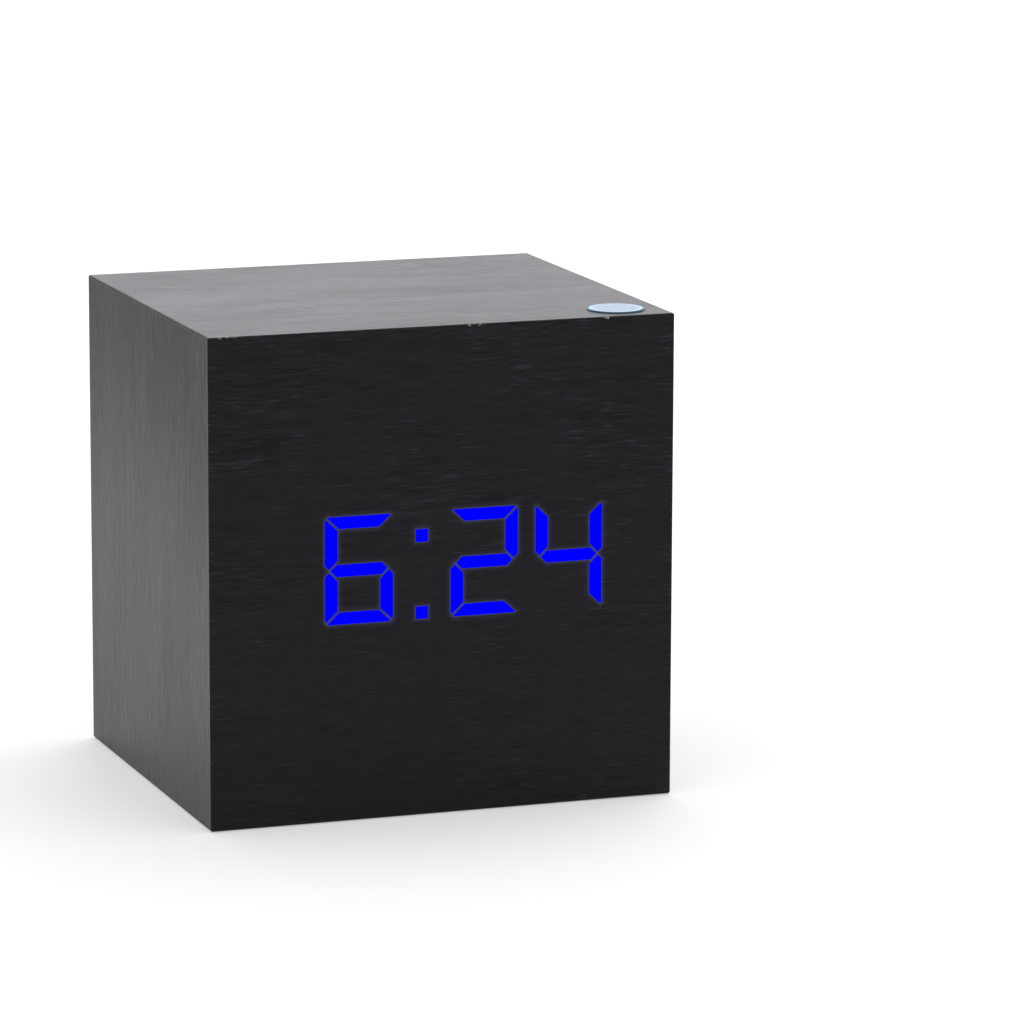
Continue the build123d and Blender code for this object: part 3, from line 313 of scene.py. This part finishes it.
def addWearAndPaintedLine(tree, point, edge, frontOrBack, paintedLineStrength):
    # how far the stain is worn off, as patches * nearness to an edge, or how strong the painted
    # highlight line along a rounded edge is, as stretches * nearness to the front or back sheet, whichever is
    # more
    fast = {"Vector": point, "Scale": 1 / veneer["wearPatch"], "Detail": 3.0}
    specks = addNode(tree, "TexNoise", {}, fast)
    patches = addNode(tree, "MapRange", {}, (specks, *veneer["wearRange"]))
    nearEdge = addNode(tree, "MapRange", {}, (edge, *veneer["wearReach"], 1.0, 0.0))
    worn = addNode(tree, "Math", {"operation": "MULTIPLY"}, (patches, nearEdge))
    # painted highlight line along the rounded edge beside the front and back sheets
    slow = {"Vector": point, "Scale": 1 / veneer["paintedLinePatch"], "Detail": 2.0}
    lengths = addNode(tree, "TexNoise", {}, slow)
    stretches = addNode(tree, "MapRange", {}, (lengths, *veneer["paintedLineRange"], *veneer["paintedLineShare"]))
    nearSheet = addNode(tree, "MapRange", {}, (frontOrBack, *veneer["paintedLineReach"], paintedLineStrength, 0.0))
    paintedEdgeLine = addNode(tree, "Math", {"operation": "MULTIPLY"}, (stretches, nearSheet))
    return addNode(tree, "Math", {"operation": "MAXIMUM"}, (worn, paintedEdgeLine))


def addChipsAndHighlight(tree, point):
    # where the top front edge is chipped, or at its left corner painted with a highlight: the length of
    # (point + noise - place) / half sizes is under 1, and the noise is 0.5 on average
    rough = {"Vector": point, "Scale": veneer["chipAndHighlightScale"], "Detail": 1.0}
    noise = addNode(tree, "TexNoise", {}, rough, "Color")
    ragged = addNode(tree, "VectorMath", {"operation": "ADD"}, (point, noise))
    chippedOrHighlit = 0.0
    for x, halfLength, inwards, below in veneer["chipsAndCornerHighlight"]:
        spot = Vector((x, blockLow.y / mm, blockHigh.z / mm)) + Vector((0.5, 0.5, 0.5))
        away = addNode(tree, "VectorMath", {"operation": "SUBTRACT"}, (ragged, spot))
        shares = (1 / halfLength, 1 / inwards, 1 / below)
        away = addNode(tree, "VectorMath", {"operation": "MULTIPLY"}, (away, shares))
        away = addNode(tree, "VectorMath", {"operation": "LENGTH"}, (away,), "Value")
        inside = addNode(tree, "MapRange", {}, (away, *veneer["chipAndHighlightRange"], 1.0, 0.0))
        chippedOrHighlit = addNode(tree, "Math", {"operation": "MAXIMUM"}, (inside, chippedOrHighlit))
    return chippedOrHighlit


def veneerMaterial(name, grainAxis, sheetKind, litFront=False):
    # stained veneer whose grain runs along X (0) or Z (2), worn pale along the block's edges, with painted
    # highlights along rounded edges and at the top front left corner
    material, tree, shader = startMaterial(name, {"IOR": veneer["ior"]})
    sheet = veneer["sheets"][sheetKind]
    point = pointInMm(tree)
    height = addNode(tree, "SeparateXYZ", {}, (point,), "Z")
    edge, frontOrBack = addEdgeDistances(tree, point)

    # grain = dashes mixed with bands, both along slightly wavy lines, and drawn towards an even 0.5
    # where the contrast is low
    swirl = {"Vector": point, "Scale": 1 / veneer["waveSize"], "Detail": 1.0}
    wave = addNode(tree, "TexNoise", {}, swirl, "Color")
    push = addNode(tree, "VectorMath", {"operation": "SCALE"}, {0: wave, "Scale": veneer["waveDepth"]})
    wavy = addNode(tree, "VectorMath", {"operation": "ADD"}, (point, push))
    dashes = addGrain(tree, wavy, sheet["dash"], grainAxis, 2.0)
    bands = addGrain(tree, wavy, sheet["band"], grainAxis, 2.0)
    cloud = addGrain(tree, point, veneer["cloud"], grainAxis, 1.0)
    patches = addNode(tree, "TexNoise", {}, {"Vector": point, "Scale": 1 / veneer["patch"], "Detail": 2.0})
    contrast = addNode(tree, "MapRange", {}, (patches, *veneer["patchRange"], *veneer["patchContrast"]))
    if litFront:
        kept = addNode(tree, "MapRange", {}, (height, *veneer["figure"], 1.0))
        contrast = addNode(tree, "Math", {"operation": "MULTIPLY"}, (contrast, kept))
    streaks = addNode(tree, "Mix", {}, {0: sheet["bandShare"], 2: dashes, 3: bands})
    streaks = addNode(tree, "Mix", {}, {0: contrast, 2: 0.5, 3: streaks})

    # stain, then dark pores, pale rubbed ridges, wear along the edges with a painted highlight line, and bare
    # wood in the chips with a painted highlight on the corner
    tone = addNode(tree, "MapRange", {}, (streaks, *veneer["toneRange"]))
    pores = addNode(tree, "MapRange", {}, (dashes, *veneer["poreRange"]))
    pores = addNode(tree, "Math", {"operation": "MULTIPLY"}, (contrast, pores))
    *edgeRange, more = veneer["scratchEdge"]
    nearEdge = addNode(tree, "MapRange", {}, (edge, *edgeRange, more, 0.0))
    ridges = addNode(tree, "Math", {"operation": "ADD"}, (dashes, nearEdge))
    rubbed = addNode(tree, "MapRange", {}, (ridges, *veneer["scratchRange"]))
    rubbed = addNode(tree, "Math", {"operation": "MULTIPLY"}, (contrast, rubbed))
    layers = {
        "light": tone,
        "pore": pores,
        "scratch": rubbed,
        "wearAndPaintedLine": addWearAndPaintedLine(tree, point, edge, frontOrBack, sheet["paintedEdgeLine"]),
        "bareWoodAndHighlight": addChipsAndHighlight(tree, point),
    }
    colour = veneer["dark"]
    for layer, share in layers.items():
        colour = addNode(tree, "Mix", {"data_type": "RGBA"}, {0: share, 6: colour, 7: veneer[layer]}, 2)
    tree.links.new(colour, shader.inputs["Base Color"])

    # the lacquer is a little rougher in the pores and in long clouds
    blend = addNode(tree, "Mix", {}, {0: veneer["cloudShare"], 2: streaks, 3: cloud})
    roughness = addNode(tree, "MapRange", {}, (blend, *veneer["toneRange"], *veneer["roughness"]))
    tree.links.new(roughness, shader.inputs["Roughness"])

    # and sheds more light on the ridges: 0.5 * sheen ^ x, with x from -0.5 in a pore to 0.5 on a ridge
    low, high = 0.5 - sheet["spread"], 0.5 + sheet["spread"]
    power = addNode(tree, "MapRange", {}, (streaks, low, high, -0.5, 0.5))
    sheen = addNode(tree, "Math", {"operation": "POWER"}, (sheet["sheen"], power))
    sheen = addNode(tree, "Math", {"operation": "MULTIPLY"}, (sheen, 0.5))
    # painted sheen: the upright sheets reflect less towards the top and more lower down, standing in for
    # light that falls more on their lower part
    if sheetKind == "side":
        smooth = {"interpolation_type": "SMOOTHSTEP"}
        heights = (height, *veneer["paintedSheenHeights"], *veneer["paintedSheenByHeight"])
        paintedSheenShare = addNode(tree, "MapRange", smooth, heights)
        sheen = addNode(tree, "Math", {"operation": "MULTIPLY"}, (sheen, paintedSheenShare))
    tree.links.new(sheen, shader.inputs["Specular IOR Level"])
    relief = {"Height": streaks, "Distance": sheet["depth"] * mm, "Strength": 1.0}
    tree.links.new(addNode(tree, "Bump", {}, relief), shader.inputs["Normal"])
    if litFront:
        light = addNode(tree, "Math", {"operation": "MULTIPLY"}, (addGlow(tree, point), glow["strength"]))
        shader.inputs["Emission Color"].default_value = hexToLinear(glow["tint"])
        tree.links.new(light, shader.inputs["Emission Strength"])
    return material


dress(veneerMaterial("stainedVeneerFront", 0, "front", litFront=True), "front_veneer")
dress(veneerMaterial("stainedVeneerTop", 0, "top"), "top_veneer")
dress(veneerMaterial("stainedVeneerAcross", 0, "front"), "back_veneer", "bottom_veneer")
dress(veneerMaterial("stainedVeneerUpright", 2, "side"), "left_veneer", "right_veneer")
print("veneer finished")

# Light-emitting diodes seen through the sheet, evenly blue and clipped at their full strength
litVeneer = {
    "Base Color": "#000000",
    "Roughness": 0.6,
    "Specular IOR Level": 0.0,
    "Emission Color": "#0000ff",
    "Emission Strength": 1.0,
}
dress(startMaterial("litVeneer", litVeneer)[0], *digits["lit"], "lit_colon")
print("digits lit")


def mottled(name, recipe):
    # a surface that varies between two colours and two roughnesses over one real size in mm, with
    # noise at point / (size * stretch)
    surface = {"Metallic": recipe.get("metallic", 0.0)}
    if "ior" in recipe:
        surface["IOR"] = recipe["ior"]
    material, tree, shader = startMaterial(name, surface)
    scale = [1 / (recipe["size"] * stretch) for stretch in recipe.get("stretch", (1, 1, 1))]
    point = addNode(tree, "VectorMath", {"operation": "MULTIPLY"}, (pointInMm(tree), scale))
    grain = addNode(tree, "TexNoise", {}, {"Vector": point, "Scale": 1.0, "Detail": 3.0})
    tone = addNode(tree, "MapRange", {}, (grain, 0.35, 0.65))  # most of the noise lies between these
    first, second = recipe["colours"]
    colour = addNode(tree, "Mix", {"data_type": "RGBA"}, {0: tone, 6: first, 7: second}, 2)
    roughness = addNode(tree, "MapRange", {}, (tone, 0.0, 1.0, *recipe["roughness"]))
    bump = addNode(tree, "Bump", {}, {"Height": grain, "Distance": recipe["depth"] * mm})
    tree.links.new(colour, shader.inputs["Base Color"])
    tree.links.new(roughness, shader.inputs["Roughness"])
    tree.links.new(bump, shader.inputs["Normal"])
    return material, tree, shader


# Sizes and depths in mm. Each finish names the nodes that wear it.
finishes = {
    # sawn medium-density board: matt pale brown with short darker fibres
    "sawnFibreboard": {
        "nodes": ["front_board", "back_board", "top_board", "bottom_board", "left_board", "right_board"],
        "colours": ("#7d6548", "#a98c66"), "size": 0.5, "roughness": (0.8, 0.95), "ior": 1.5, "depth": 0.03,
    },
    # extruded polyester film, frosted: cool white and soft
    "frostedPolyester": {
        "nodes": ["diffuser_film"],
        "colours": ("#d5dbe2", "#e6eaef"), "size": 0.3, "roughness": (0.5, 0.6), "ior": 1.57, "depth": 0.005,
    },
    # moulded white ABS: satin, a touch warm
    "mouldedWhiteAbs": {
        "nodes": ["segment_reflector"],
        "colours": ("#e4e3de", "#efeeea"), "size": 0.4, "roughness": (0.4, 0.5), "ior": 1.53, "depth": 0.005,
    },
    # glass-epoxy board under green solder mask: glossy, with the weave just showing
    "greenSolderMask": {
        "nodes": ["display_board", "main_board"],
        "colours": ("#0c3f22", "#14552f"), "size": 0.6, "roughness": (0.25, 0.35), "ior": 1.55, "depth": 0.01,
        "stretch": (1, 1, 0.4),
    },
    # cast epoxy lamps: milky yellow and shiny
    "castLampEpoxy": {
        "nodes": ["segment_lamps"],
        "colours": ("#d9d59a", "#ece9c4"), "size": 0.3, "roughness": (0.1, 0.2), "ior": 1.53, "depth": 0.002,
    },
    # moulded epoxy chips: fine matt black
    "mouldedChipEpoxy": {
        "nodes": ["display_driver_chip", "controller_chip"],
        "colours": ("#141416", "#1f1f22"), "size": 0.12, "roughness": (0.55, 0.7), "ior": 1.55, "depth": 0.01,
    },
    # tinned copper legs: bright grey with soft flow marks
    "tinnedCopper": {
        "nodes": ["chip_legs"],
        "colours": ("#b6b6b2", "#cfcfcb"), "size": 0.4, "roughness": (0.25, 0.4), "metallic": 1.0,
        "depth": 0.004,
    },
    # zinc-plated steel screws: pale metal with fine turning marks
    "zincPlatedSteel": {
        "nodes": ["display_screws", "main_board_screws", "battery_tray_screws"],
        "colours": ("#94959a", "#b9babe"), "size": 0.2, "roughness": (0.28, 0.42), "metallic": 1.0,
        "depth": 0.004,
    },
    # turned brass spacers: warm yellow with rings from the lathe
    "turnedBrass": {
        "nodes": ["board_spacers"],
        "colours": ("#b08d45", "#cdaa5e"), "size": 0.15, "roughness": (0.22, 0.35), "metallic": 1.0,
        "depth": 0.004, "stretch": (6, 1, 6),
    },
    # moulded acetal plungers: ivory and waxy
    "mouldedAcetal": {
        "nodes": ["set_switch_plunger", "up_switch_plunger", "down_switch_plunger"],
        "colours": ("#cfc9ba", "#ddd8ca"), "size": 0.5, "roughness": (0.35, 0.45), "ior": 1.48,
        "depth": 0.003,
    },
    # moulded glass-filled polyester housings: near black with a dull glint
    "mouldedBlackPolyester": {
        "nodes": ["switch_housings", "alarm_buzzer", "power_socket"],
        "colours": ("#0f0f10", "#1a1a1c"), "size": 0.2, "roughness": (0.42, 0.58), "ior": 1.57,
        "depth": 0.008,
    },
    # nickel-plated pin: bright, drawn smooth along its length
    "platedNickel": {
        "nodes": ["power_socket_pin"],
        "colours": ("#bdb9b0", "#d6d2c9"), "size": 0.2, "roughness": (0.12, 0.22), "metallic": 1.0,
        "depth": 0.002, "stretch": (1, 8, 1),
    },
    # moulded silicone sleeve: soft charcoal
    "mouldedSilicone": {
        "nodes": ["microphone"],
        "colours": ("#17171a", "#222225"), "size": 0.3, "roughness": (0.65, 0.8), "ior": 1.41, "depth": 0.006,
    },
    # shrink sleeve over a drawn can: slate blue with a soft gloss
    "shrunkSleeve": {
        "nodes": ["smoothing_capacitor"],
        "colours": ("#28365f", "#33437a"), "size": 0.8, "roughness": (0.25, 0.35), "ior": 1.5, "depth": 0.004,
    },
    # drawn steel can: plain grey metal with marks along its length
    "drawnSteelCan": {
        "nodes": ["clock_crystal"],
        "colours": ("#a5a5a4", "#c2c2c0"), "size": 0.12, "roughness": (0.25, 0.38), "metallic": 1.0,
        "depth": 0.003, "stretch": (1, 1, 12),
    },
    # dipped epoxy bead: glossy black with slight waves
    "dippedEpoxy": {
        "nodes": ["thermistor"],
        "colours": ("#111112", "#1a1a1b"), "size": 1.2, "roughness": (0.08, 0.16), "ior": 1.54, "depth": 0.02,
    },
    # moulded natural nylon plugs: cream, faintly mottled
    "mouldedNylon": {
        "nodes": ["ribbon_plugs", "lead_plug"],
        "colours": ("#d9d5c6", "#e8e4d7"), "size": 0.6, "roughness": (0.4, 0.5), "ior": 1.53, "depth": 0.005,
    },
    # extruded grey PVC ribbon: its conductors show as ridges along it
    "extrudedRibbon": {
        "nodes": ["ribbon_cable"],
        "colours": ("#7f8388", "#a7aaae"), "size": 0.7, "roughness": (0.45, 0.55), "ior": 1.54, "depth": 0.08,
        "stretch": (1, 20, 20),
    },
    # moulded black ABS with a spark-eroded texture: even matt grain of 0.2 mm
    "sparkErodedAbs": {
        "nodes": ["battery_tray", "battery_door"],
        "colours": ("#131314", "#1c1c1e"), "size": 0.22, "roughness": (0.5, 0.66), "ior": 1.53, "depth": 0.02,
    },
    # nickel-plated spring steel: warm grey with fine rolling marks
    "rolledNickelSteel": {
        "nodes": ["contact_plates", "contact_springs"],
        "colours": ("#a8a49b", "#c6c2b9"), "size": 0.15, "roughness": (0.2, 0.34), "metallic": 1.0,
        "depth": 0.003, "stretch": (1, 10, 1),
    },
    # extruded soft PVC on the leads: satin
    "extrudedRedPvc": {
        "nodes": ["red_lead"],
        "colours": ("#9c1414", "#b31c1a"), "size": 0.8, "roughness": (0.35, 0.45), "ior": 1.54, "depth": 0.01,
    },
    "extrudedBlackPvc": {
        "nodes": ["black_lead"],
        "colours": ("#101011", "#19191a"), "size": 0.8, "roughness": (0.35, 0.45), "ior": 1.54, "depth": 0.01,
    },
}
for name, recipe in finishes.items():
    dress(mottled(name, recipe)[0], *recipe["nodes"])

# Printed jacket shrunk on each cell: graphite with a copper band at the end with the nub
jacket = {
    "colours": ("#2b2e33", "#33373c"), "size": 1.4, "roughness": (0.24, 0.3), "metallic": 0.6, "depth": 0.002,
    "band": "#a8703c",
    "bandStart": 0.62,  # share of half the cells' length
    "count": 3,
}
jacketMaterial, tree, shader = mottled("printedCellJacket", jacket)
cellsLow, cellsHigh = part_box("battery_cells")
halfPitch = (cellsHigh.y - cellsLow.y) / jacket["count"] / 2 / mm
# the band starts where x * (1 on the outer cells, -1 on the middle one) passes its place
parts = addNode(tree, "SeparateXYZ", {}, (pointInMm(tree),)).node.outputs
offMiddle = addNode(tree, "Math", {"operation": "ABSOLUTE"}, (parts[1],))
isOuter = addNode(tree, "Math", {"operation": "GREATER_THAN"}, (offMiddle, halfPitch))
facing = addNode(tree, "Math", {"operation": "MULTIPLY_ADD"}, (isOuter, 2.0, -1.0))
towardsNub = addNode(tree, "Math", {"operation": "MULTIPLY"}, (parts[0], facing))
bandStart = jacket["bandStart"] * cellsHigh.x / mm
isBand = addNode(tree, "Math", {"operation": "GREATER_THAN"}, (towardsNub, bandStart))
plain = shader.inputs["Base Color"].links[0].from_socket
banded = addNode(tree, "Mix", {"data_type": "RGBA"}, {0: isBand, 6: plain, 7: jacket["band"]}, 2)
tree.links.new(banded, shader.inputs["Base Color"])
dress(jacketMaterial, "battery_cells")
print("inner pieces finished")


def turned(name, radii, heights, centre, axis, steps, body, material, slot):
    # carries a profile round an axis: each point at (radius, height) becomes a ring of equal steps,
    # radius * (cos a, sin a) across the axis and height along it
    angles = np.linspace(0, 2 * math.pi, steps, endpoint=False)[:, None]
    radii, heights = np.asarray(radii, float)[None], np.asarray(heights, float)[None]
    ringsWithPaintedLight = np.stack([radii * np.cos(angles), radii * np.sin(angles), heights + 0 * angles], -1) * mm
    spin = Vector(axis).to_track_quat("Z", "X").to_matrix()
    points = ringsWithPaintedLight.reshape(-1, 3) @ np.array(spin).T + np.array(centre)
    count = radii.shape[1]
    ring, step = np.meshgrid(np.arange(steps), np.arange(count - 1), indexing="ij")
    here, beyond = ring * count + step, (ring + 1) % steps * count + step
    faces = np.stack([here, beyond, beyond + 1, here + 1], -1).reshape(-1, 4)
    mesh = bpy.data.meshes.new(name)
    mesh.from_pydata(points, [], faces.tolist())
    work = bmesh.new()
    work.from_mesh(mesh)
    bmesh.ops.remove_doubles(work, verts=work.verts, dist=1e-7)
    bmesh.ops.recalc_face_normals(work, faces=work.faces)
    work.to_mesh(mesh)
    work.free()
    mesh.shade_smooth()
    mesh.materials.append(material)
    piece = bpy.data.objects.new(name, mesh)
    scene.collection.objects.link(piece)
    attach(piece, body)
    return piece


# Resin poured thin over a pale blue disc: satin, with a paler ring inside its edge that is a painted
# highlight, a teal ring where its wall turns down that is painted light through the resin, and a dark ring at
# its foot
badge = {
    "face": "#a2bcd3",
    # colours further out, each with the shares of the radius over which it takes over: a painted highlight,
    # painted light through the resin wall, and a dark ring at the foot
    "ringsWithPaintedLight": (("#bfd8ec", 0.74, 0.84), ("#4a93b6", 0.89, 0.915), ("#26414f", 0.92, 0.95)),
    "surface": {"Roughness": 0.42, "IOR": 1.22},
    "squareness": 10.0,
    "steps": 96,
    "rows": 28,
}
badgeLow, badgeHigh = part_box("top_badge")
badgeCentre = Vector(((badgeLow.x + badgeHigh.x) / 2, (badgeLow.y + badgeHigh.y) / 2, badgeLow.z))
badgeRadius, badgeHeight = (badgeHigh.x - badgeLow.x) / 2 / mm, (badgeHigh.z - badgeLow.z) / mm
badgeMaterial, tree, shader = startMaterial("pouredResinBadge", badge["surface"])
fromMiddle = addNode(tree, "VectorMath", {"operation": "SUBTRACT"}, (pointInMm(tree), badgeCentre / mm))
flat = addNode(tree, "VectorMath", {"operation": "MULTIPLY"}, (fromMiddle, (1, 1, 0)))
out = addNode(tree, "VectorMath", {"operation": "LENGTH"}, (flat,), "Value")
share = addNode(tree, "Math", {"operation": "DIVIDE"}, (out, badgeRadius))
# paints rings over the face: a painted highlight, painted light through the resin wall, then a dark ring at
# the foot
colour = badge["face"]
for ring, start, end in badge["ringsWithPaintedLight"]:
    reached = addNode(tree, "MapRange", {}, (share, start, end))
    colour = addNode(tree, "Mix", {"data_type": "RGBA"}, {0: reached, 6: colour, 7: ring}, 2)
tree.links.new(colour, shader.inputs["Base Color"])
# height = full height * sqrt(1 - (radius / full radius) ^ squareness), then back along the flat underside
lean = np.linspace(0, math.pi / 2, badge["rows"])
radii = [*badgeRadius * np.sin(lean) ** (2 / badge["squareness"]), 0]
heights = [*badgeHeight * np.cos(lean), 0]
badgeWay = (badgeCentre, (0, 0, 1), badge["steps"])
badgePiece = turned("resinBadge", radii, heights, *badgeWay, "case", badgeMaterial, "badge_resin")
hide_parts("top_badge")
print("badge poured")

# Moulded black ABS caps: satin face with a shallow finger dish and a rounded edge
caps = {
    "colours": ("#101011", "#18181a"), "size": 0.25, "roughness": (0.3, 0.42), "ior": 1.53, "depth": 0.006,
    # sizes in mm, with the flange between two depths behind the face
    "dish": 0.18,
    "edge": 0.35,
    "flangeWidth": 1.1,
    "flangeDepths": (3.3, 4.3),
    "stemRadius": 1.6,
    "steps": 64,
    "dishRows": 16,
    "edgeRows": 8,
}
capMaterial = mottled("mouldedBlackAbs", caps)[0]
for button in ("set", "up", "down"):
    low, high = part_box(f"{button}_button_cap")
    centre = Vector(((low.x + high.x) / 2, high.y, (low.z + high.z) / 2))
    flangeRadius = (high.x - low.x) / 2 / mm
    length = (high.y - low.y) / mm
    radius = flangeRadius - caps["flangeWidth"]
    # dish: depth * (1 - (radius / reach) ^ 2) ^ 2, then a quarter round to the side
    face = np.linspace(0, radius - caps["edge"], caps["dishRows"])
    dish = -caps["dish"] * (1 - (face / face[-1]) ** 2) ** 2
    sweep = np.linspace(0, math.pi / 2, caps["edgeRows"])
    roundRadii = radius - caps["edge"] * (1 - np.sin(sweep))
    roundHeights = -caps["edge"] * (1 - np.cos(sweep))
    flangeTop, flangeFoot = (-depth for depth in caps["flangeDepths"])
    stem = caps["stemRadius"]
    radii = [*face, *roundRadii[1:], radius, flangeRadius, flangeRadius, stem, stem, 0]
    heights = [*dish, *roundHeights[1:], flangeTop, flangeTop, flangeFoot, flangeFoot, -length, -length]
    capWay = (centre, (0, 1, 0), caps["steps"])
    body = f"{button}_button"
    cap = turned(f"{button}ButtonCap", radii, heights, *capWay, body, capMaterial, "button_plastic")
    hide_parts(f"{button}_button_cap")
print("button caps made")

# Plain light from all sides, one softbox low behind the block on the right, which the top
# mirrors and which throws the shadow to the front left, and one overhead
studio = {
    "surround": 0.8,
    "softboxes": {
        "backSoftbox": {"place": (0.55, 1.5, 0.42), "size": (1.6, 0.8), "power": 6.1, "colour": "#f9f8ff"},
        "topSoftbox": {"place": (0.25, 0.3, 0.9), "size": (0.7, 0.7), "power": 2.2, "colour": "#ffffff"},
    },
    "floorColour": "#e6e6e8",
    "floorSize": 12.0,
    "floorDrop": 0.1,  # mm
    "floorLift": 0.32,  # added where the camera or a reflection sees the floor
}
world = bpy.data.worlds.new("studio")
scene.world = world
world.use_nodes = True
worldTree = world.node_tree
worldTree.nodes.clear()
isSeen = addNode(worldTree, "LightPath", {}, (), "Is Camera Ray")
level = addNode(worldTree, "MapRange", {}, (isSeen, 0.0, 1.0, studio["surround"], 1.0))
background = addNode(worldTree, "Background", {}, {"Color": "#ffffff", "Strength": level})
addNode(worldTree, "OutputWorld", {}, {"Surface": background})

for name, box in studio["softboxes"].items():
    lightData = bpy.data.lights.new(name, "AREA")
    lightData.shape = "RECTANGLE"
    lightData.size, lightData.size_y = box["size"]
    lightData.energy = box["power"]
    lightData.color = hexToLinear(box["colour"])[:3]
    softbox = bpy.data.objects.new(name, lightData)
    scene.collection.objects.link(softbox)
    softbox.visible_camera = False
    towards = Vector((0, 0, blockSize.z / 2)) - Vector(box["place"])
    aim = towards.to_track_quat("-Z", "Y").to_matrix().to_4x4()
    softbox.matrix_world = Matrix.Translation(box["place"]) @ aim

half = studio["floorSize"] / 2
drop = -studio["floorDrop"] * mm
floorMesh = bpy.data.meshes.new("floor")
floorMesh.from_pydata(
    [(-half, -half, drop), (half, -half, drop), (half, half, drop), (-half, half, drop)],
    [],
    [(0, 1, 2, 3)],
)
floor = bpy.data.objects.new("floor", floorMesh)
scene.collection.objects.link(floor)
paperSurface = {
    "Base Color": studio["floorColour"],
    "Roughness": 0.9,
    "Specular IOR Level": 0.0,
    "Emission Color": "#ffffff",
}
paper, paperTree, paperShader = startMaterial("whitePaper", paperSurface)
paths = addNode(paperTree, "LightPath", {}, ()).node.outputs
rays = (paths["Is Camera Ray"], paths["Is Glossy Ray"])
seenAtAll = addNode(paperTree, "Math", {"operation": "MAXIMUM"}, rays)
lift = addNode(paperTree, "Math", {"operation": "MULTIPLY"}, (seenAtAll, studio["floorLift"]))
paperTree.links.new(lift, paperShader.inputs["Emission Strength"])
floorMesh.materials.append(paper)
print("studio lit")
